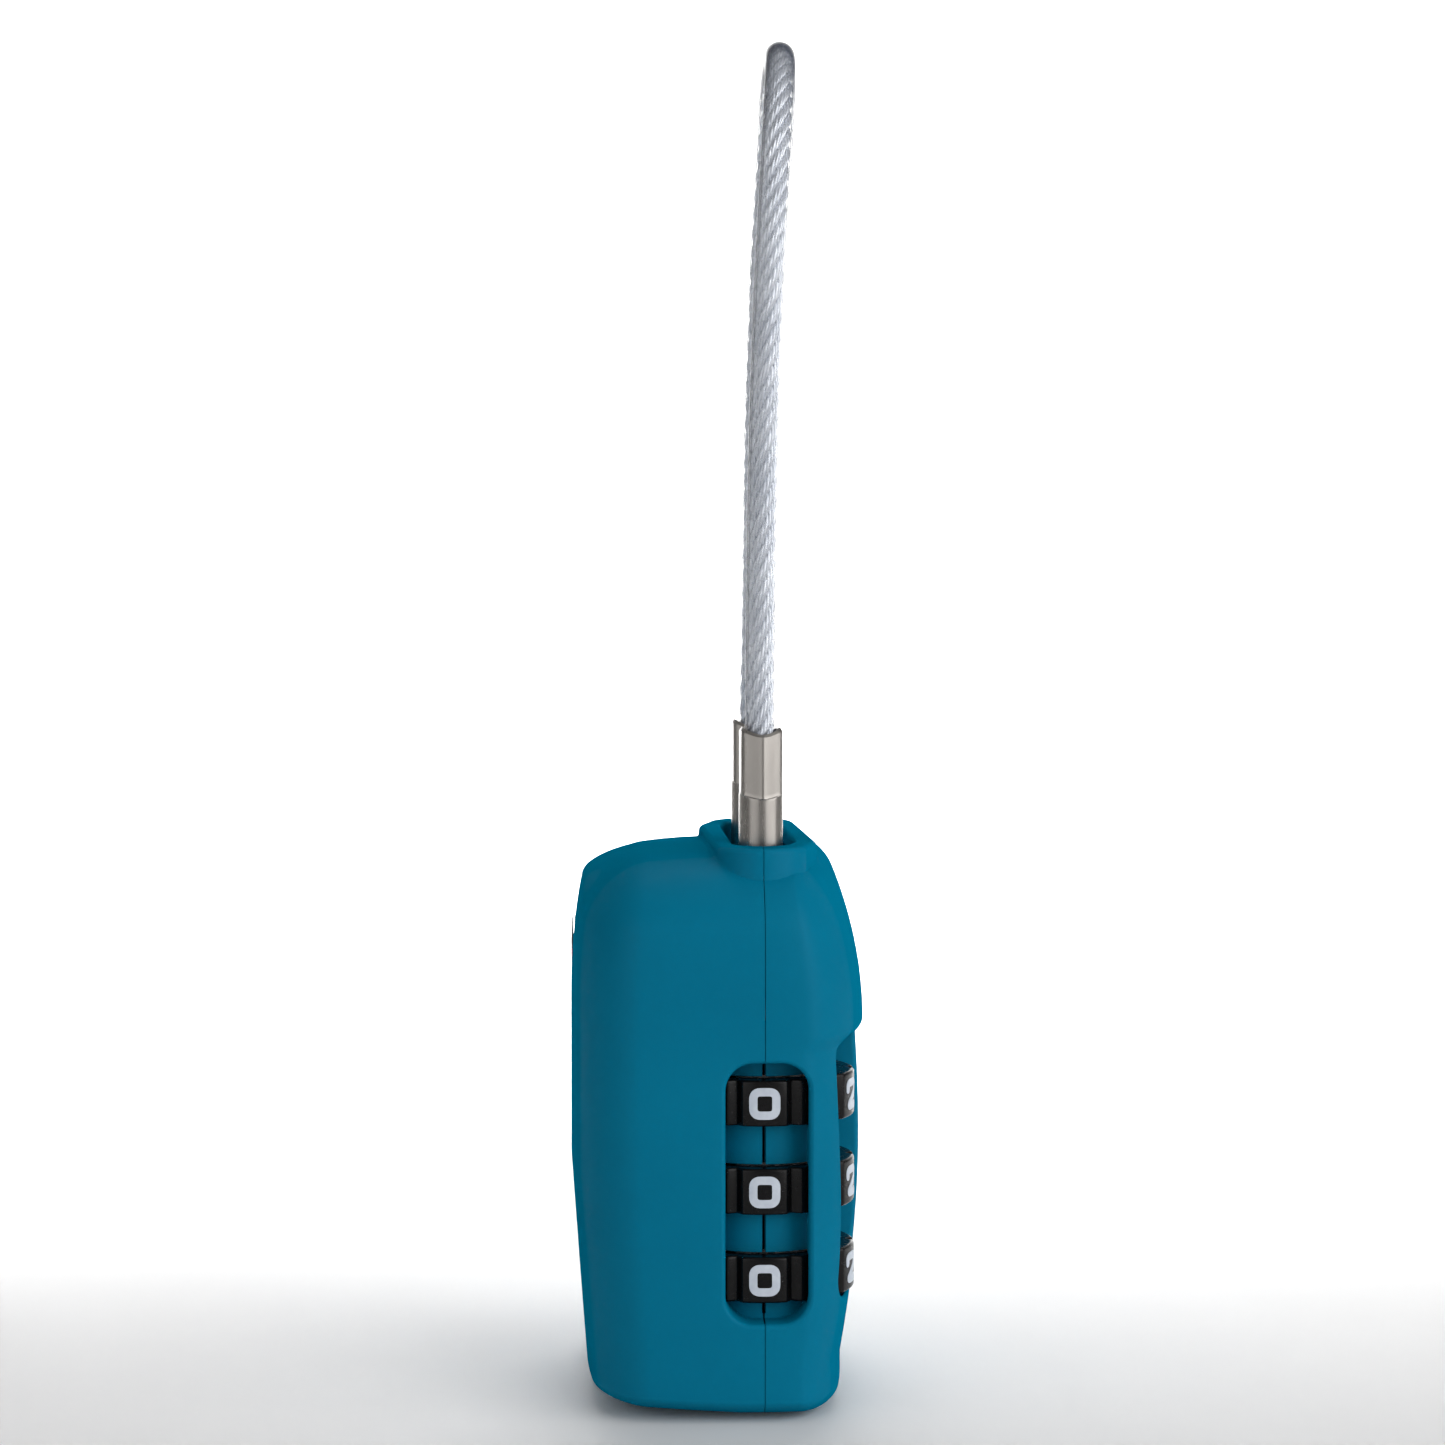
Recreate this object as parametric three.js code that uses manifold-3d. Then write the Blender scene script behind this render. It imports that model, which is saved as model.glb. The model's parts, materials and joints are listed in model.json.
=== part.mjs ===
// Luggage combination padlock with a flexible wire shackle.
// Frame: +X is the front of the body, Y runs across its width, +Z is up, millimetres.
// The origin is the centre of the body's footprint. The lock stands on its flat underside.
// The dimensions below count heights from a datum 1.35 mm above the underside, and depths from the
// seam between the two shells; the whole lock is moved to its origin at the end.
import * as THREE from "three";
import { mergeVertices } from "three/addons/utils/BufferGeometryUtils.js";
import Module from "manifold-3d";

const wasm = await Module();
wasm.setup();

// ---- driving dimensions, in mm --------------------------------------------------------------

// The case, and how far its rounded edges reach inwards from each face.
const CASE_FRONT = 7.6;
const CASE_REAR = 13.46;
const CASE_HALF_WIDTH = 15;
const CASE_LOW = -1.35;
const CASE_TOP = 37.7;
const ROUND_LOW = [4.2, 5.2, 1.5];
const ROUND_HIGH = [1.7, 5.2, 1.6];

// Towards the narrow sides the edges beside the top and the front get rounder by this much.
const SOFT_TOP = 3.4;
const SOFT_FRONT = 2.0;
const SEAM_GAP = 0.12;
const BADGE_PROUD = 0.05;
const SPLIT_X = (CASE_REAR + BADGE_PROUD - CASE_FRONT) / 2;

// The brow over the front window, and the lower panel under it.
const BROW_LIP_Z = 25.3;
const BROW_CUT_Z = 24.1;
const PANEL_FRONT = 7.33;

// Dials, from the top one down.
const DIAL_Y = -7.5;
const DIAL_TOP_Z = 20.65;
const DIAL_PITCH = 6.115;
const DIAL_R = 6.6;
const DIAL_THICK = 3.2;
const DIAL_DIGITS = 10;
const DIAL_CLEAR = 0.25;
const DIAL_GAP = 0.12;
const GROOVE_DEPTH = 0.45;
const FLOOR_R = 5.3;
const WEB_THICK = 0.6;

// Windows.
const SIDE_WINDOW = { left: -2.7, right: 3.0, low: 5.56, high: 23.5, corner: 1.9 };
const FRONT_WINDOW = { low: 6.1, high: 25.0, left: -12.2, right: -3.0, corner: 1.7 };

// The collar round the two ferrules: wide between them, narrower round each.
const COLLAR = { halfWidth: 4.05, shoulderY: 6.6, endY: 9.2, endR: 3.3, top: 38.3 };

// Shackle cable and its ferrules.
const FERRULE_Y = 7.5;
const FERRULE_R = 1.55;
const FERRULE_TOP = 46.3;
const RIM_LOW = 45.6;
const RIM_R = 1.5;
const HEX_LOW = 41.6;
const HEX_FLATS = 1.47;
const HEX_TURN = 0.07;
const FIXED_LOW = 28.8;
const FREE_LOW = 24.9;
const ROPE_R = 0.8;
const SLEEVE_IN_R = 0.9;
const SLEEVE_R = 1.1;
const CABLE_BORE_R = 1.22;
const CABLE_BORE_LOW = 40.2;
const ANCHOR_Z = 31.2;

// Locking parts.
const LATCH_LOW = 25.6;
const LATCH_HIGH = 26.6;
const LATCH_HOLE_R = 1.85;
const LATCH_GROOVE = { low: 25.35, high: 26.95, radius: 0.95 };
const SPINDLE_R = 1.1;
const SPINDLE_CONE_LOW = 25.0;
const SPINDLE_CONE_R = 1.65;
const CONE_SLOPE = 2;

// Key cylinder.
const KEY_Y = 7.2;
const BARREL_R = 3.9;
const PLUG_R = 2.5;
const BARREL_LOW = -0.95;
const BARREL_HIGH = 16.2;
const WAFERS = 5;
const WAFER_FIRST_Z = 3.2;
const WAFER_PITCH = 2.2;
const WAFER_THICK = 0.5;

// The certification badge's place on the back, kept as a plain round badge.
const BADGE_Z = 30.1;
const BADGE_R = 2.2;
const DOME_BACK = 13.3;

const ROUND = 28;
const SMALL_ROUND = 16;

// The cable's route from the fixed ferrule over to the free one, from the split plane, in mm.
const CABLE_ROUTE = [
  [0, -7.5, 40.6],
  [0, -7.5, 43.5],
  [0, -7.5, 46.5],
  [0.02, -7.65, 52],
  [0.08, -8.4, 60],
  [0.2, -9.5, 68],
  [0.45, -10.3, 76],
  [0.75, -10.3, 82],
  [1.1, -8.9, 87.5],
  [1.4, -6.2, 91.6],
  [1.55, -3.2, 93.6],
  [1.6, 0, 94.2],
  [1.6, 3.2, 93.6],
  [1.5, 6.2, 91.6],
  [1.3, 8.9, 87.5],
  [1.0, 10.3, 82],
  [0.75, 10.3, 76],
  [0.45, 9.5, 68],
  [0.28, 8.4, 60],
  [0.12, 7.65, 52],
  [0, 7.5, 46.5],
  [0, 7.5, 43.5],
  [0, 7.5, 40.6],
];
const CABLE_STEPS = 28;

// ---- solids ---------------------------------------------------------------------------------

// A closed geometry as a solid that can be cut and joined.
function solid(geometry) {
  const bare = geometry.clone();
  bare.deleteAttribute("normal");
  bare.deleteAttribute("uv");
  const merged = mergeVertices(bare, 1e-4);
  return new wasm.Manifold(
    new wasm.Mesh({
      numProp: 3,
      vertProperties: new Float32Array(merged.attributes.position.array),
      triVerts: new Uint32Array(merged.index.array),
    }),
  );
}

function geometryOf(made) {
  const found = made.getMesh();
  const geometry = new THREE.BufferGeometry();
  geometry.setAttribute("position", new THREE.BufferAttribute(found.vertProperties, 3));
  geometry.setIndex(new THREE.BufferAttribute(found.triVerts, 1));
  return geometry;
}

function join(first, ...rest) {
  return rest.reduce((whole, piece) => whole.add(piece), first);
}

function cut(first, ...rest) {
  return rest.reduce((left, piece) => left.subtract(piece), first);
}

function box(low, high) {
  const size = high.map((value, axis) => value - low[axis]);
  const geometry = new THREE.BoxGeometry(...size);
  geometry.translate(...low.map((value, axis) => value + size[axis] / 2));
  return solid(geometry);
}

// An upright cylinder about (x, y).
function column(x, y, low, high, radius, sides = ROUND) {
  const geometry = new THREE.CylinderGeometry(radius, radius, high - low, sides);
  geometry.rotateX(Math.PI / 2);
  geometry.translate(x, y, (low + high) / 2);
  return solid(geometry);
}

// A cylinder along X or Y, from low to high on that axis.
function rod(axis, low, high, across, z, radius, sides = SMALL_ROUND) {
  const geometry = new THREE.CylinderGeometry(radius, radius, high - low, sides);
  if (axis === "x") geometry.rotateZ(Math.PI / 2);
  const middle = (low + high) / 2;
  geometry.translate(axis === "x" ? middle : across, axis === "x" ? across : middle, z);
  return solid(geometry);
}

// A turned piece about the vertical line through (x, y); the profile is [radius, z] upwards.
function turned(profile, x, y, sides = ROUND) {
  const points = profile.map(([radius, z]) => new THREE.Vector2(radius, z));
  const geometry = new THREE.LatheGeometry(points, sides);
  geometry.rotateX(Math.PI / 2);
  geometry.translate(x, y, 0);
  return geometry;
}

// An outline in the XY plane, raised from low to high, with its rims bevelled if asked.
function raised(shape, low, high, bevel = 0, curveSegments = 8) {
  const geometry = new THREE.ExtrudeGeometry(shape, {
    depth: high - low - 2 * bevel,
    bevelEnabled: bevel > 0,
    bevelThickness: bevel,
    bevelSize: bevel,
    bevelOffset: -bevel,
    bevelSegments: 1,
    curveSegments,
  });
  geometry.translate(0, 0, low + bevel);
  return geometry;
}

const polar = (radius, angle) => new THREE.Vector2(radius * Math.cos(angle), radius * Math.sin(angle));

function roundedRectangle(left, low, right, high, corner) {
  const shape = new THREE.Shape();
  shape.moveTo(left + corner, low);
  shape.lineTo(right - corner, low);
  shape.absarc(right - corner, low + corner, corner, -Math.PI / 2, 0);
  shape.lineTo(right, high - corner);
  shape.absarc(right - corner, high - corner, corner, 0, Math.PI / 2);
  shape.lineTo(left + corner, high);
  shape.absarc(left + corner, high - corner, corner, Math.PI / 2, Math.PI);
  shape.lineTo(left, low + corner);
  shape.absarc(left + corner, low + corner, corner, Math.PI, 1.5 * Math.PI);
  return shape;
}

// A slot with round ends along Y, centred on the split plane.
function stadium(halfWidth, endY, endR) {
  const shape = new THREE.Shape();
  shape.moveTo(halfWidth, -endY + halfWidth - endR);
  shape.lineTo(halfWidth, endY - halfWidth + endR);
  shape.absarc(0, endY, endR, 0.25, Math.PI - 0.25);
  shape.lineTo(-halfWidth, endY - halfWidth + endR);
  shape.lineTo(-halfWidth, -endY + halfWidth - endR);
  shape.absarc(0, -endY, endR, Math.PI + 0.25, 2 * Math.PI - 0.25);
  return shape;
}

// A compression spring about the Z axis, from low to high; the wire is five-sided.
function spring(radius, wire, low, high, turns) {
  class Helix extends THREE.Curve {
    getPoint(t, target = new THREE.Vector3()) {
      const turn = 2 * Math.PI * turns * t;
      const rise = low + wire + (high - low - 2 * wire) * t;
      return target.set(radius * Math.cos(turn), radius * Math.sin(turn), rise);
    }
  }
  const corners = [0, 1, 2, 3, 4].map((side) => polar(wire, (2 * Math.PI * side) / 5));
  return new THREE.ExtrudeGeometry(new THREE.Shape(corners), {
    steps: Math.round(10 * turns),
    extrudePath: new Helix(),
    curveSegments: 1,
  });
}

// ---- the case -------------------------------------------------------------------------------

const smooth = (low, high, value) => THREE.MathUtils.smoothstep(value, low, high);

// How far the front stands from the split plane at a height: the brow above, the panel below.
function frontDepth(z) {
  const brow = CASE_FRONT - 0.0187 * Math.max(0, z - BROW_LIP_Z) ** 2;
  const middle = 17;
  const hollow = z > middle ? 0.0048 * (z - middle) ** 2 : 0.0062 * Math.min(13, middle - z) ** 2;
  return THREE.MathUtils.lerp(PANEL_FRONT - hollow, brow, smooth(BROW_CUT_Z, BROW_LIP_Z, z));
}

function rearDepth(z) {
  const under = 0.0728 * Math.max(0, 15.3 - z);
  const over = 0.0095 * Math.max(0, z - 27) ** 2;
  return CASE_REAR - under - over;
}

// Places along one side of the case's block: close together over each rounded edge.
function stations(low, high, axis, between) {
  const bend = [45, 30, 15, 0].map((a) => Math.tan(THREE.MathUtils.degToRad(a)));
  const start = bend.map((share) => low + ROUND_LOW[axis] * (1 - share));
  const end = bend.map((share) => high - ROUND_HIGH[axis] * (1 - share)).reverse();
  return [...start, ...between, ...end];
}

function caseSolid() {
  const across = stations(-CASE_REAR, CASE_FRONT, 0, [-6.5, -3.5, 0, 3]);
  const along = stations(-CASE_HALF_WIDTH, CASE_HALF_WIDTH, 1, [-8, -4, 0, 4, 8]);
  const upward = stations(CASE_LOW, CASE_TOP, 2, [4, 8, 12, 16, 20, 24.1, 24.7, 25.3, 28.2, 31.5, 34]);
  const sides = [across, along, upward];
  const block = new THREE.BoxGeometry(2, 2, 2, ...sides.map((side) => side.length - 1));
  const place = block.attributes.position;
  const flatLow = [-CASE_REAR, -CASE_HALF_WIDTH, CASE_LOW].map((end, axis) => end + ROUND_LOW[axis]);
  const flatHigh = [CASE_FRONT, CASE_HALF_WIDTH, CASE_TOP].map((end, axis) => end - ROUND_HIGH[axis]);
  for (let i = 0; i < place.count; i++) {
    const grid = [place.getX(i), place.getY(i), place.getZ(i)];
    const at = grid.map((t, axis) => sides[axis][Math.round(((t + 1) / 2) * (sides[axis].length - 1))]);
    place.setXYZ(i, ...crowned(...softened(...rounded(at, flatLow, flatHigh))));
  }
  return solid(block);
}

// A point of the square block moved onto its rounded edges, which are parts of ellipses.
function rounded(at, flatLow, flatHigh) {
  const inner = at.map((value, axis) => THREE.MathUtils.clamp(value, flatLow[axis], flatHigh[axis]));
  const reach = at.map((value, axis) => (value < inner[axis] ? ROUND_LOW[axis] : ROUND_HIGH[axis]));
  const share = at.map((value, axis) => (value - inner[axis]) / reach[axis]);
  const length = Math.hypot(...share);
  return inner.map((value, axis) => value + (reach[axis] * share[axis]) / length);
}

// How far a point near a rounded edge moves for the edge to reach further by `more`.
function furtherIn(depth, reach, more, fade) {
  return more * (depth < reach ? depth / reach : Math.max(0, 1 - (depth - reach) / fade));
}

// The edges beside the top and the front reach further in towards the narrow sides.
function softened(x, y, z) {
  const share = smooth(4.5, 9.5, Math.abs(y));
  const forward = share * furtherIn(CASE_FRONT - x, ROUND_HIGH[0], SOFT_FRONT, 6);
  const down = share * furtherIn(CASE_TOP - z, ROUND_HIGH[2], SOFT_TOP, 10);
  return [x - forward, y, z - down];
}

// The rounded block's faces swell: front, back, ends and top are all slightly domed, and the
// underside rises a little towards the back.
function crowned(x, y, z) {
  const side = y / CASE_HALF_WIDTH;
  const frontShare = (frontDepth(z) - 2.0 * Math.abs(side) ** 2.2) / CASE_FRONT;
  const rearShare = (rearDepth(z) - 1.0 * side ** 2) / CASE_REAR;
  const rise = (z - CASE_LOW) / (CASE_TOP - CASE_LOW);
  const back = Math.abs(Math.min(0, x + 3) / 9);
  const sag = 0.75 * back ** 2 + 0.65 * side ** 2;
  const lift = 0.055 * Math.max(0, -2 - x);
  const sideways = 0.045 * (Math.max(0, x) / 7.6) ** 3 + 0.05 * (Math.max(0, -4 - x) / 9.5) ** 2.5;
  const upwards = 0.11 * (Math.max(0, z - 27) / 10.7) ** 3 + 0.012 * (Math.max(0, 14 - z) / 15) ** 2;
  const narrow = 1 - 0.01 * ((x + 3) / 10) ** 2 - sideways - upwards;
  const height = z - rise ** 8 * sag + (1 - rise) ** 8 * lift;
  return [x * (x > 0 ? frontShare : rearShare), y * narrow, height];
}

// The raised collar round the two ferrules, and the pit inside it.
function collarSolid() {
  const outline = new THREE.Shape();
  outline.absarc(0, -COLLAR.endY, COLLAR.endR, Math.PI + 0.1, 2 * Math.PI - 0.1);
  outline.lineTo(COLLAR.halfWidth, -COLLAR.shoulderY);
  outline.lineTo(COLLAR.halfWidth, COLLAR.shoulderY);
  outline.absarc(0, COLLAR.endY, COLLAR.endR, 0.1, Math.PI - 0.1);
  outline.lineTo(-COLLAR.halfWidth, COLLAR.shoulderY);
  outline.lineTo(-COLLAR.halfWidth, -COLLAR.shoulderY);
  return solid(raised(outline, 34.5, COLLAR.top, 0.4));
}

function pitSolid() {
  return solid(raised(stadium(2.4, 8.3, 1.95), 36.9, 40));
}

function upright(shape, reach, axis) {
  const geometry = raised(shape, 0, reach);
  // The outline's own x and y become the case's width or depth, and its height.
  geometry.rotateX(Math.PI / 2);
  if (axis === "x") geometry.rotateZ(Math.PI / 2);
  return geometry;
}

// Both windows, down to the round floor between the dials.
function windowSolid() {
  const side = roundedRectangle(
    SIDE_WINDOW.left,
    SIDE_WINDOW.low,
    SIDE_WINDOW.right,
    SIDE_WINDOW.high,
    SIDE_WINDOW.corner,
  );
  const front = roundedRectangle(
    FRONT_WINDOW.left,
    FRONT_WINDOW.low,
    FRONT_WINDOW.right,
    FRONT_WINDOW.high,
    FRONT_WINDOW.corner,
  );
  const reach = 12;
  const sideCut = upright(side, reach, "y");
  sideCut.translate(0, DIAL_Y, 0);
  const frontCut = upright(front, reach, "x");
  frontCut.translate(SIDE_WINDOW.right - 0.1, 0, 0);
  const floor = column(0, DIAL_Y, CASE_LOW, CASE_TOP, FLOOR_R / Math.cos(Math.PI / ROUND));
  return cut(join(solid(sideCut), solid(frontCut)), floor);
}

const dialZ = (index) => DIAL_TOP_Z - DIAL_PITCH * index;

// Everything the two shells leave room for.
function hollows() {
  const found = [];
  for (let i = 0; i < 3; i++) {
    const half = DIAL_THICK / 2 + DIAL_GAP;
    found.push(column(0, DIAL_Y, dialZ(i) - half, dialZ(i) + half, DIAL_R + DIAL_CLEAR));
  }
  const plungerHole = column(0, DIAL_Y, CASE_LOW - 1, 1.6, 1.35, SMALL_ROUND);
  const plungerRoom = column(0, DIAL_Y, 1.2, 3.55, 2.0, SMALL_ROUND);
  const ledgeHole = column(0, DIAL_Y, 3.4, 4.2, 1.15, SMALL_ROUND);
  const springRoom = column(0, DIAL_Y, 4.05, 6.8, 2.35, SMALL_ROUND);
  const spindleBore = column(0, DIAL_Y, 6.5, 24, 1.4, SMALL_ROUND);
  const coneRoom = column(0, DIAL_Y, 23.3, 25.2, 2.4, SMALL_ROUND);
  found.push(plungerHole, plungerRoom, ledgeHole, springRoom, spindleBore, coneRoom);
  const latchRoom = box([-3.3, -10.4, 24.7], [3.3, 11.2, 28.3]);
  const legRoom = box([-1.7, 1.9, 16.3], [1.7, 5.2, 25]);
  const latchSpringRoom = rod("y", -0.1, 3, 0, 21.5, 1.5);
  const ejectRoom = column(0, FERRULE_Y, 20.3, 25, 1.9, SMALL_ROUND);
  found.push(latchRoom, legRoom, latchSpringRoom, ejectRoom);
  const barrelRoom = column(0, KEY_Y, CASE_LOW - 1, 16.6, BARREL_R + 0.15);
  const camRoom = column(0, KEY_Y, 16.4, 19.3, 3.3);
  found.push(barrelRoom, camRoom);
  const blockRoom = box([-3.5, -11.3, 28], [3.5, 11.3, 36.2]);
  found.push(blockRoom, pitSolid());
  for (const end of [-1, 1]) found.push(column(0, end * FERRULE_Y, 36, 38, 1.85, SMALL_ROUND));
  const rearRoom = box([-10.8, -11.5, 2.8], [-7.95, 11.5, 33]);
  const sideRoom = box([-10.8, 0.9, 2.8], [-5.0, 11.8, 24]);
  const passage = box([-6, 0.9, 3], [0, 2.6, 15]);
  const detentRoom = box([-8.4, -10.2, 5.0], [-6.3, -4.8, 24.0]);
  found.push(rearRoom, sideRoom, passage, detentRoom);
  found.push(rod("x", -20, -12.75, 0, BADGE_Z, BADGE_R + 0.2, ROUND));
  for (const [y, z] of PIN_PLACES) found.push(rod("x", PIN_ENDS[0] - 0.3, PIN_ENDS[1] + 0.3, y, z, 1.05, 16));
  return found;
}

const PIN_PLACES = [
  [12.7, 26],
  [12.7, 3.6],
  [-12.6, 27],
  [-11.6, 3.2],
];
const PIN_ENDS = [-4, 2.6];

function shells() {
  const collar = collarSolid();
  const whole = cut(join(caseSolid(), collar), windowSolid(), ...hollows());
  const half = SEAM_GAP / 2;
  const rear = box([-30, -30, -5], [-half, 30, 60]);
  const front = box([half, -30, -5], [30, 30, 60]);
  return [whole.intersect(rear), whole.intersect(front)];
}

// ---- dials and the locking spindle ----------------------------------------------------------

// A dial's rim: a flat for each digit with a V groove on either side of it.
function dialOutline() {
  const points = [];
  const pitch = (2 * Math.PI) / DIAL_DIGITS;
  const corner = pitch / 2 - THREE.MathUtils.degToRad(5);
  for (let digit = 0; digit < DIAL_DIGITS; digit++) {
    const middle = -Math.PI / 2 + digit * pitch;
    for (const turn of [-corner, 0, corner]) points.push(polar(DIAL_R, middle + turn));
    points.push(polar(DIAL_R - GROOVE_DEPTH, middle + pitch / 2));
  }
  return new THREE.Shape(points);
}

// Ten splines: those of a clutch ring, or the hole of the dial that the ring sits in.
function splines(root, tip) {
  const points = [];
  const pitch = (2 * Math.PI) / DIAL_DIGITS;
  for (let tooth = 0; tooth < DIAL_DIGITS; tooth++) {
    points.push(polar(root, (tooth - 0.36) * pitch));
    points.push(polar(tip, (tooth - 0.2) * pitch));
    points.push(polar(tip, (tooth + 0.2) * pitch));
    points.push(polar(root, (tooth + 0.36) * pitch));
  }
  return new THREE.Shape(points);
}

function dialSolid(index) {
  const low = dialZ(index) - DIAL_THICK / 2;
  const high = dialZ(index) + DIAL_THICK / 2;
  const wheel = solid(raised(dialOutline(), low, high, 0.2));
  const hole = solid(raised(splines(4.3, 4.85), low - 1, high + 1));
  return cut(wheel, hole).translate(0, DIAL_Y, 0);
}

// The clutch ring inside a dial: its web has one gate, which lets the spindle's fin through.
function clutchRing(index) {
  const z = dialZ(index);
  const low = z - DIAL_THICK / 2;
  const high = z + DIAL_THICK / 2;
  const rim = raised(splines(3.9, 4.45), low, high);
  const ring = cut(
    solid(rim),
    column(0, 0, z + WEB_THICK / 2, high + 1, 2.9, SMALL_ROUND),
    column(0, 0, low - 1, z - WEB_THICK / 2, 2.9, SMALL_ROUND),
    column(0, 0, low - 1, high + 1, 1.45, SMALL_ROUND),
    box([-0.65, 0, low - 1], [0.65, 2.5, high + 1]),
  );
  return geometryOf(ring.translate(0, DIAL_Y, 0));
}

// With the right number dialled the fins lie just under the webs, and the spindle is down.
function spindleGeometry() {
  const cone = SPINDLE_CONE_LOW - 1.5;
  const coneTop = cone + 2.1;
  const shaft = turned(
    [
      [0, 3.95],
      [0.8, 3.95],
      [0.8, 4.75],
      [2.0, 4.75],
      [2.0, 5.2],
      [SPINDLE_R, 5.2],
      [SPINDLE_R, cone],
      [SPINDLE_CONE_R, cone],
      [SPINDLE_CONE_R - 2.1 / CONE_SLOPE, coneTop],
      [0, coneTop],
    ],
    0,
    0,
    SMALL_ROUND,
  );
  let whole = solid(shaft);
  for (let i = 0; i < 3; i++) {
    const high = dialZ(i) - WEB_THICK / 2 - 0.25;
    whole = join(whole, box([-0.45, 0, high - 0.5], [0.45, 2.25, high]));
  }
  return geometryOf(whole.translate(0, DIAL_Y, 0));
}

// A leaf with three fingers, one resting against each dial to make it click.
function detentSpring() {
  const back = box([-7.6, -9.6, 5.4], [-7.3, -8.6, 23.6]);
  let leaf = back;
  for (let i = 0; i < 3; i++) {
    const z = dialZ(i);
    leaf = join(leaf, box([-7.6, -9.6, z - 0.9], [-7.3, -5.8, z + 0.9]));
    leaf = join(leaf, box([-7.5, -7.9, z - 0.6], [-6.8, -7.1, z + 0.6]));
  }
  return geometryOf(leaf);
}

// ---- latch, reset and cable ends ------------------------------------------------------------

// The latch plate holds the free ferrule by its groove; its slanted nose rides on the spindle.
function latchPlate() {
  const plate = box([-2.6, -6.2, LATCH_LOW], [2.6, 10.2, LATCH_HIGH]);
  const noseAt = (z) => DIAL_Y + SPINDLE_CONE_R - (z + 1.5 - SPINDLE_CONE_LOW) / CONE_SLOPE + 0.3;
  const slant = new THREE.Shape();
  slant.moveTo(-12, LATCH_LOW - 1);
  slant.lineTo(noseAt(LATCH_LOW - 1), LATCH_LOW - 1);
  slant.lineTo(noseAt(LATCH_HIGH + 1), LATCH_HIGH + 1);
  slant.lineTo(-12, LATCH_HIGH + 1);
  const nose = new THREE.ExtrudeGeometry(slant, { depth: 8, bevelEnabled: false });
  // Drawn as width and height, and swept across the depth of the case.
  nose.rotateX(Math.PI / 2);
  nose.rotateZ(Math.PI / 2);
  nose.translate(-4, 0, 0);
  const hole = column(0, FERRULE_Y, LATCH_LOW - 1, LATCH_HIGH + 1, LATCH_HOLE_R);
  const leg = box([-1.2, 2.5, 16.8], [1.2, 3.3, LATCH_LOW + 0.2]);
  return geometryOf(join(cut(plate, solid(nose), hole), leg));
}

// The cross pin through the fixed ferrule, or the hole that it fits.
function anchorRod(halfLength, radius) {
  return rod("x", -halfLength, halfLength, -FERRULE_Y, ANCHOR_Z, radius, SMALL_ROUND);
}

function topBlock() {
  let block = box([-3.2, -11, 28.3], [3.2, 11, 35.9]);
  for (const end of [-1, 1]) block = cut(block, column(0, end * FERRULE_Y, 27, 37, FERRULE_R + 0.15));
  const saving = box([-4, -3.2, 29.8], [4, 3.2, 34.4]);
  return geometryOf(cut(block, anchorRod(4, 0.72), saving));
}

// A ferrule: round below, pressed to a hexagon above, with a round rim and a bore for the cable.
function ferrule(y, low, groove) {
  const foot = 0.35;
  const profile = [
    [0, low],
    [FERRULE_R - foot, low],
    [FERRULE_R, low + foot],
  ];
  if (groove) {
    const { low: under, high: over, radius } = LATCH_GROOVE;
    profile.push([FERRULE_R, under], [radius, under], [radius, over], [FERRULE_R, over]);
  }
  profile.push([FERRULE_R, HEX_LOW], [0, HEX_LOW]);
  const cornerR = HEX_FLATS / Math.cos(Math.PI / 6);
  const hexLow = HEX_LOW - 0.3;
  const hexBody = new THREE.CylinderGeometry(cornerR, cornerR, RIM_LOW + 0.1 - hexLow, 6);
  hexBody.rotateX(Math.PI / 2);
  hexBody.translate(0, 0, (RIM_LOW + 0.1 + hexLow) / 2);
  const rim = [
    [0, RIM_LOW],
    [RIM_R, RIM_LOW],
    [RIM_R, FERRULE_TOP - 0.1],
    [RIM_R - 0.1, FERRULE_TOP],
    [0, FERRULE_TOP],
  ];
  const outside = join(solid(turned(profile, 0, 0)), solid(hexBody), solid(turned(rim, 0, 0)));
  const made = cut(outside, column(0, 0, CABLE_BORE_LOW, FERRULE_TOP + 1, CABLE_BORE_R));
  return made.rotate([0, 0, THREE.MathUtils.radToDeg(HEX_TURN)]).translate(0, y, 0);
}

// A round or ring-shaped section, swept along the cable's route.
function cableTube(outer, inner) {
  const section = new THREE.Shape();
  section.absarc(0, 0, outer, 0, 2 * Math.PI);
  if (inner) {
    const hole = new THREE.Path();
    hole.absarc(0, 0, inner, 0, 2 * Math.PI, true);
    section.holes.push(hole);
  }
  const route = new THREE.CatmullRomCurve3(CABLE_ROUTE.map((at) => new THREE.Vector3(...at)));
  return new THREE.ExtrudeGeometry(section, {
    steps: CABLE_STEPS,
    extrudePath: route,
    curveSegments: 4,
  });
}

// ---- key cylinder ---------------------------------------------------------------------------

function keyPlug() {
  const body = turned(
    [
      [0, BARREL_LOW],
      [PLUG_R, BARREL_LOW],
      [PLUG_R, BARREL_HIGH],
      [1.2, BARREL_HIGH],
      [1.2, 18.9],
      [0, 18.9],
    ],
    0,
    0,
    24,
  );
  const keyway = box([-0.45, -1.7, BARREL_LOW - 1], [0.45, 1.7, 14.5]);
  let plug = cut(solid(body), keyway);
  for (let i = 0; i < WAFERS; i++) {
    const z = WAFER_FIRST_Z + i * WAFER_PITCH;
    plug = cut(plug, box([-1.5, -3, z - 0.3], [1.5, 2.1, z + WAFER_THICK + 0.3]));
  }
  return geometryOf(plug.translate(0, KEY_Y, 0));
}

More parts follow.
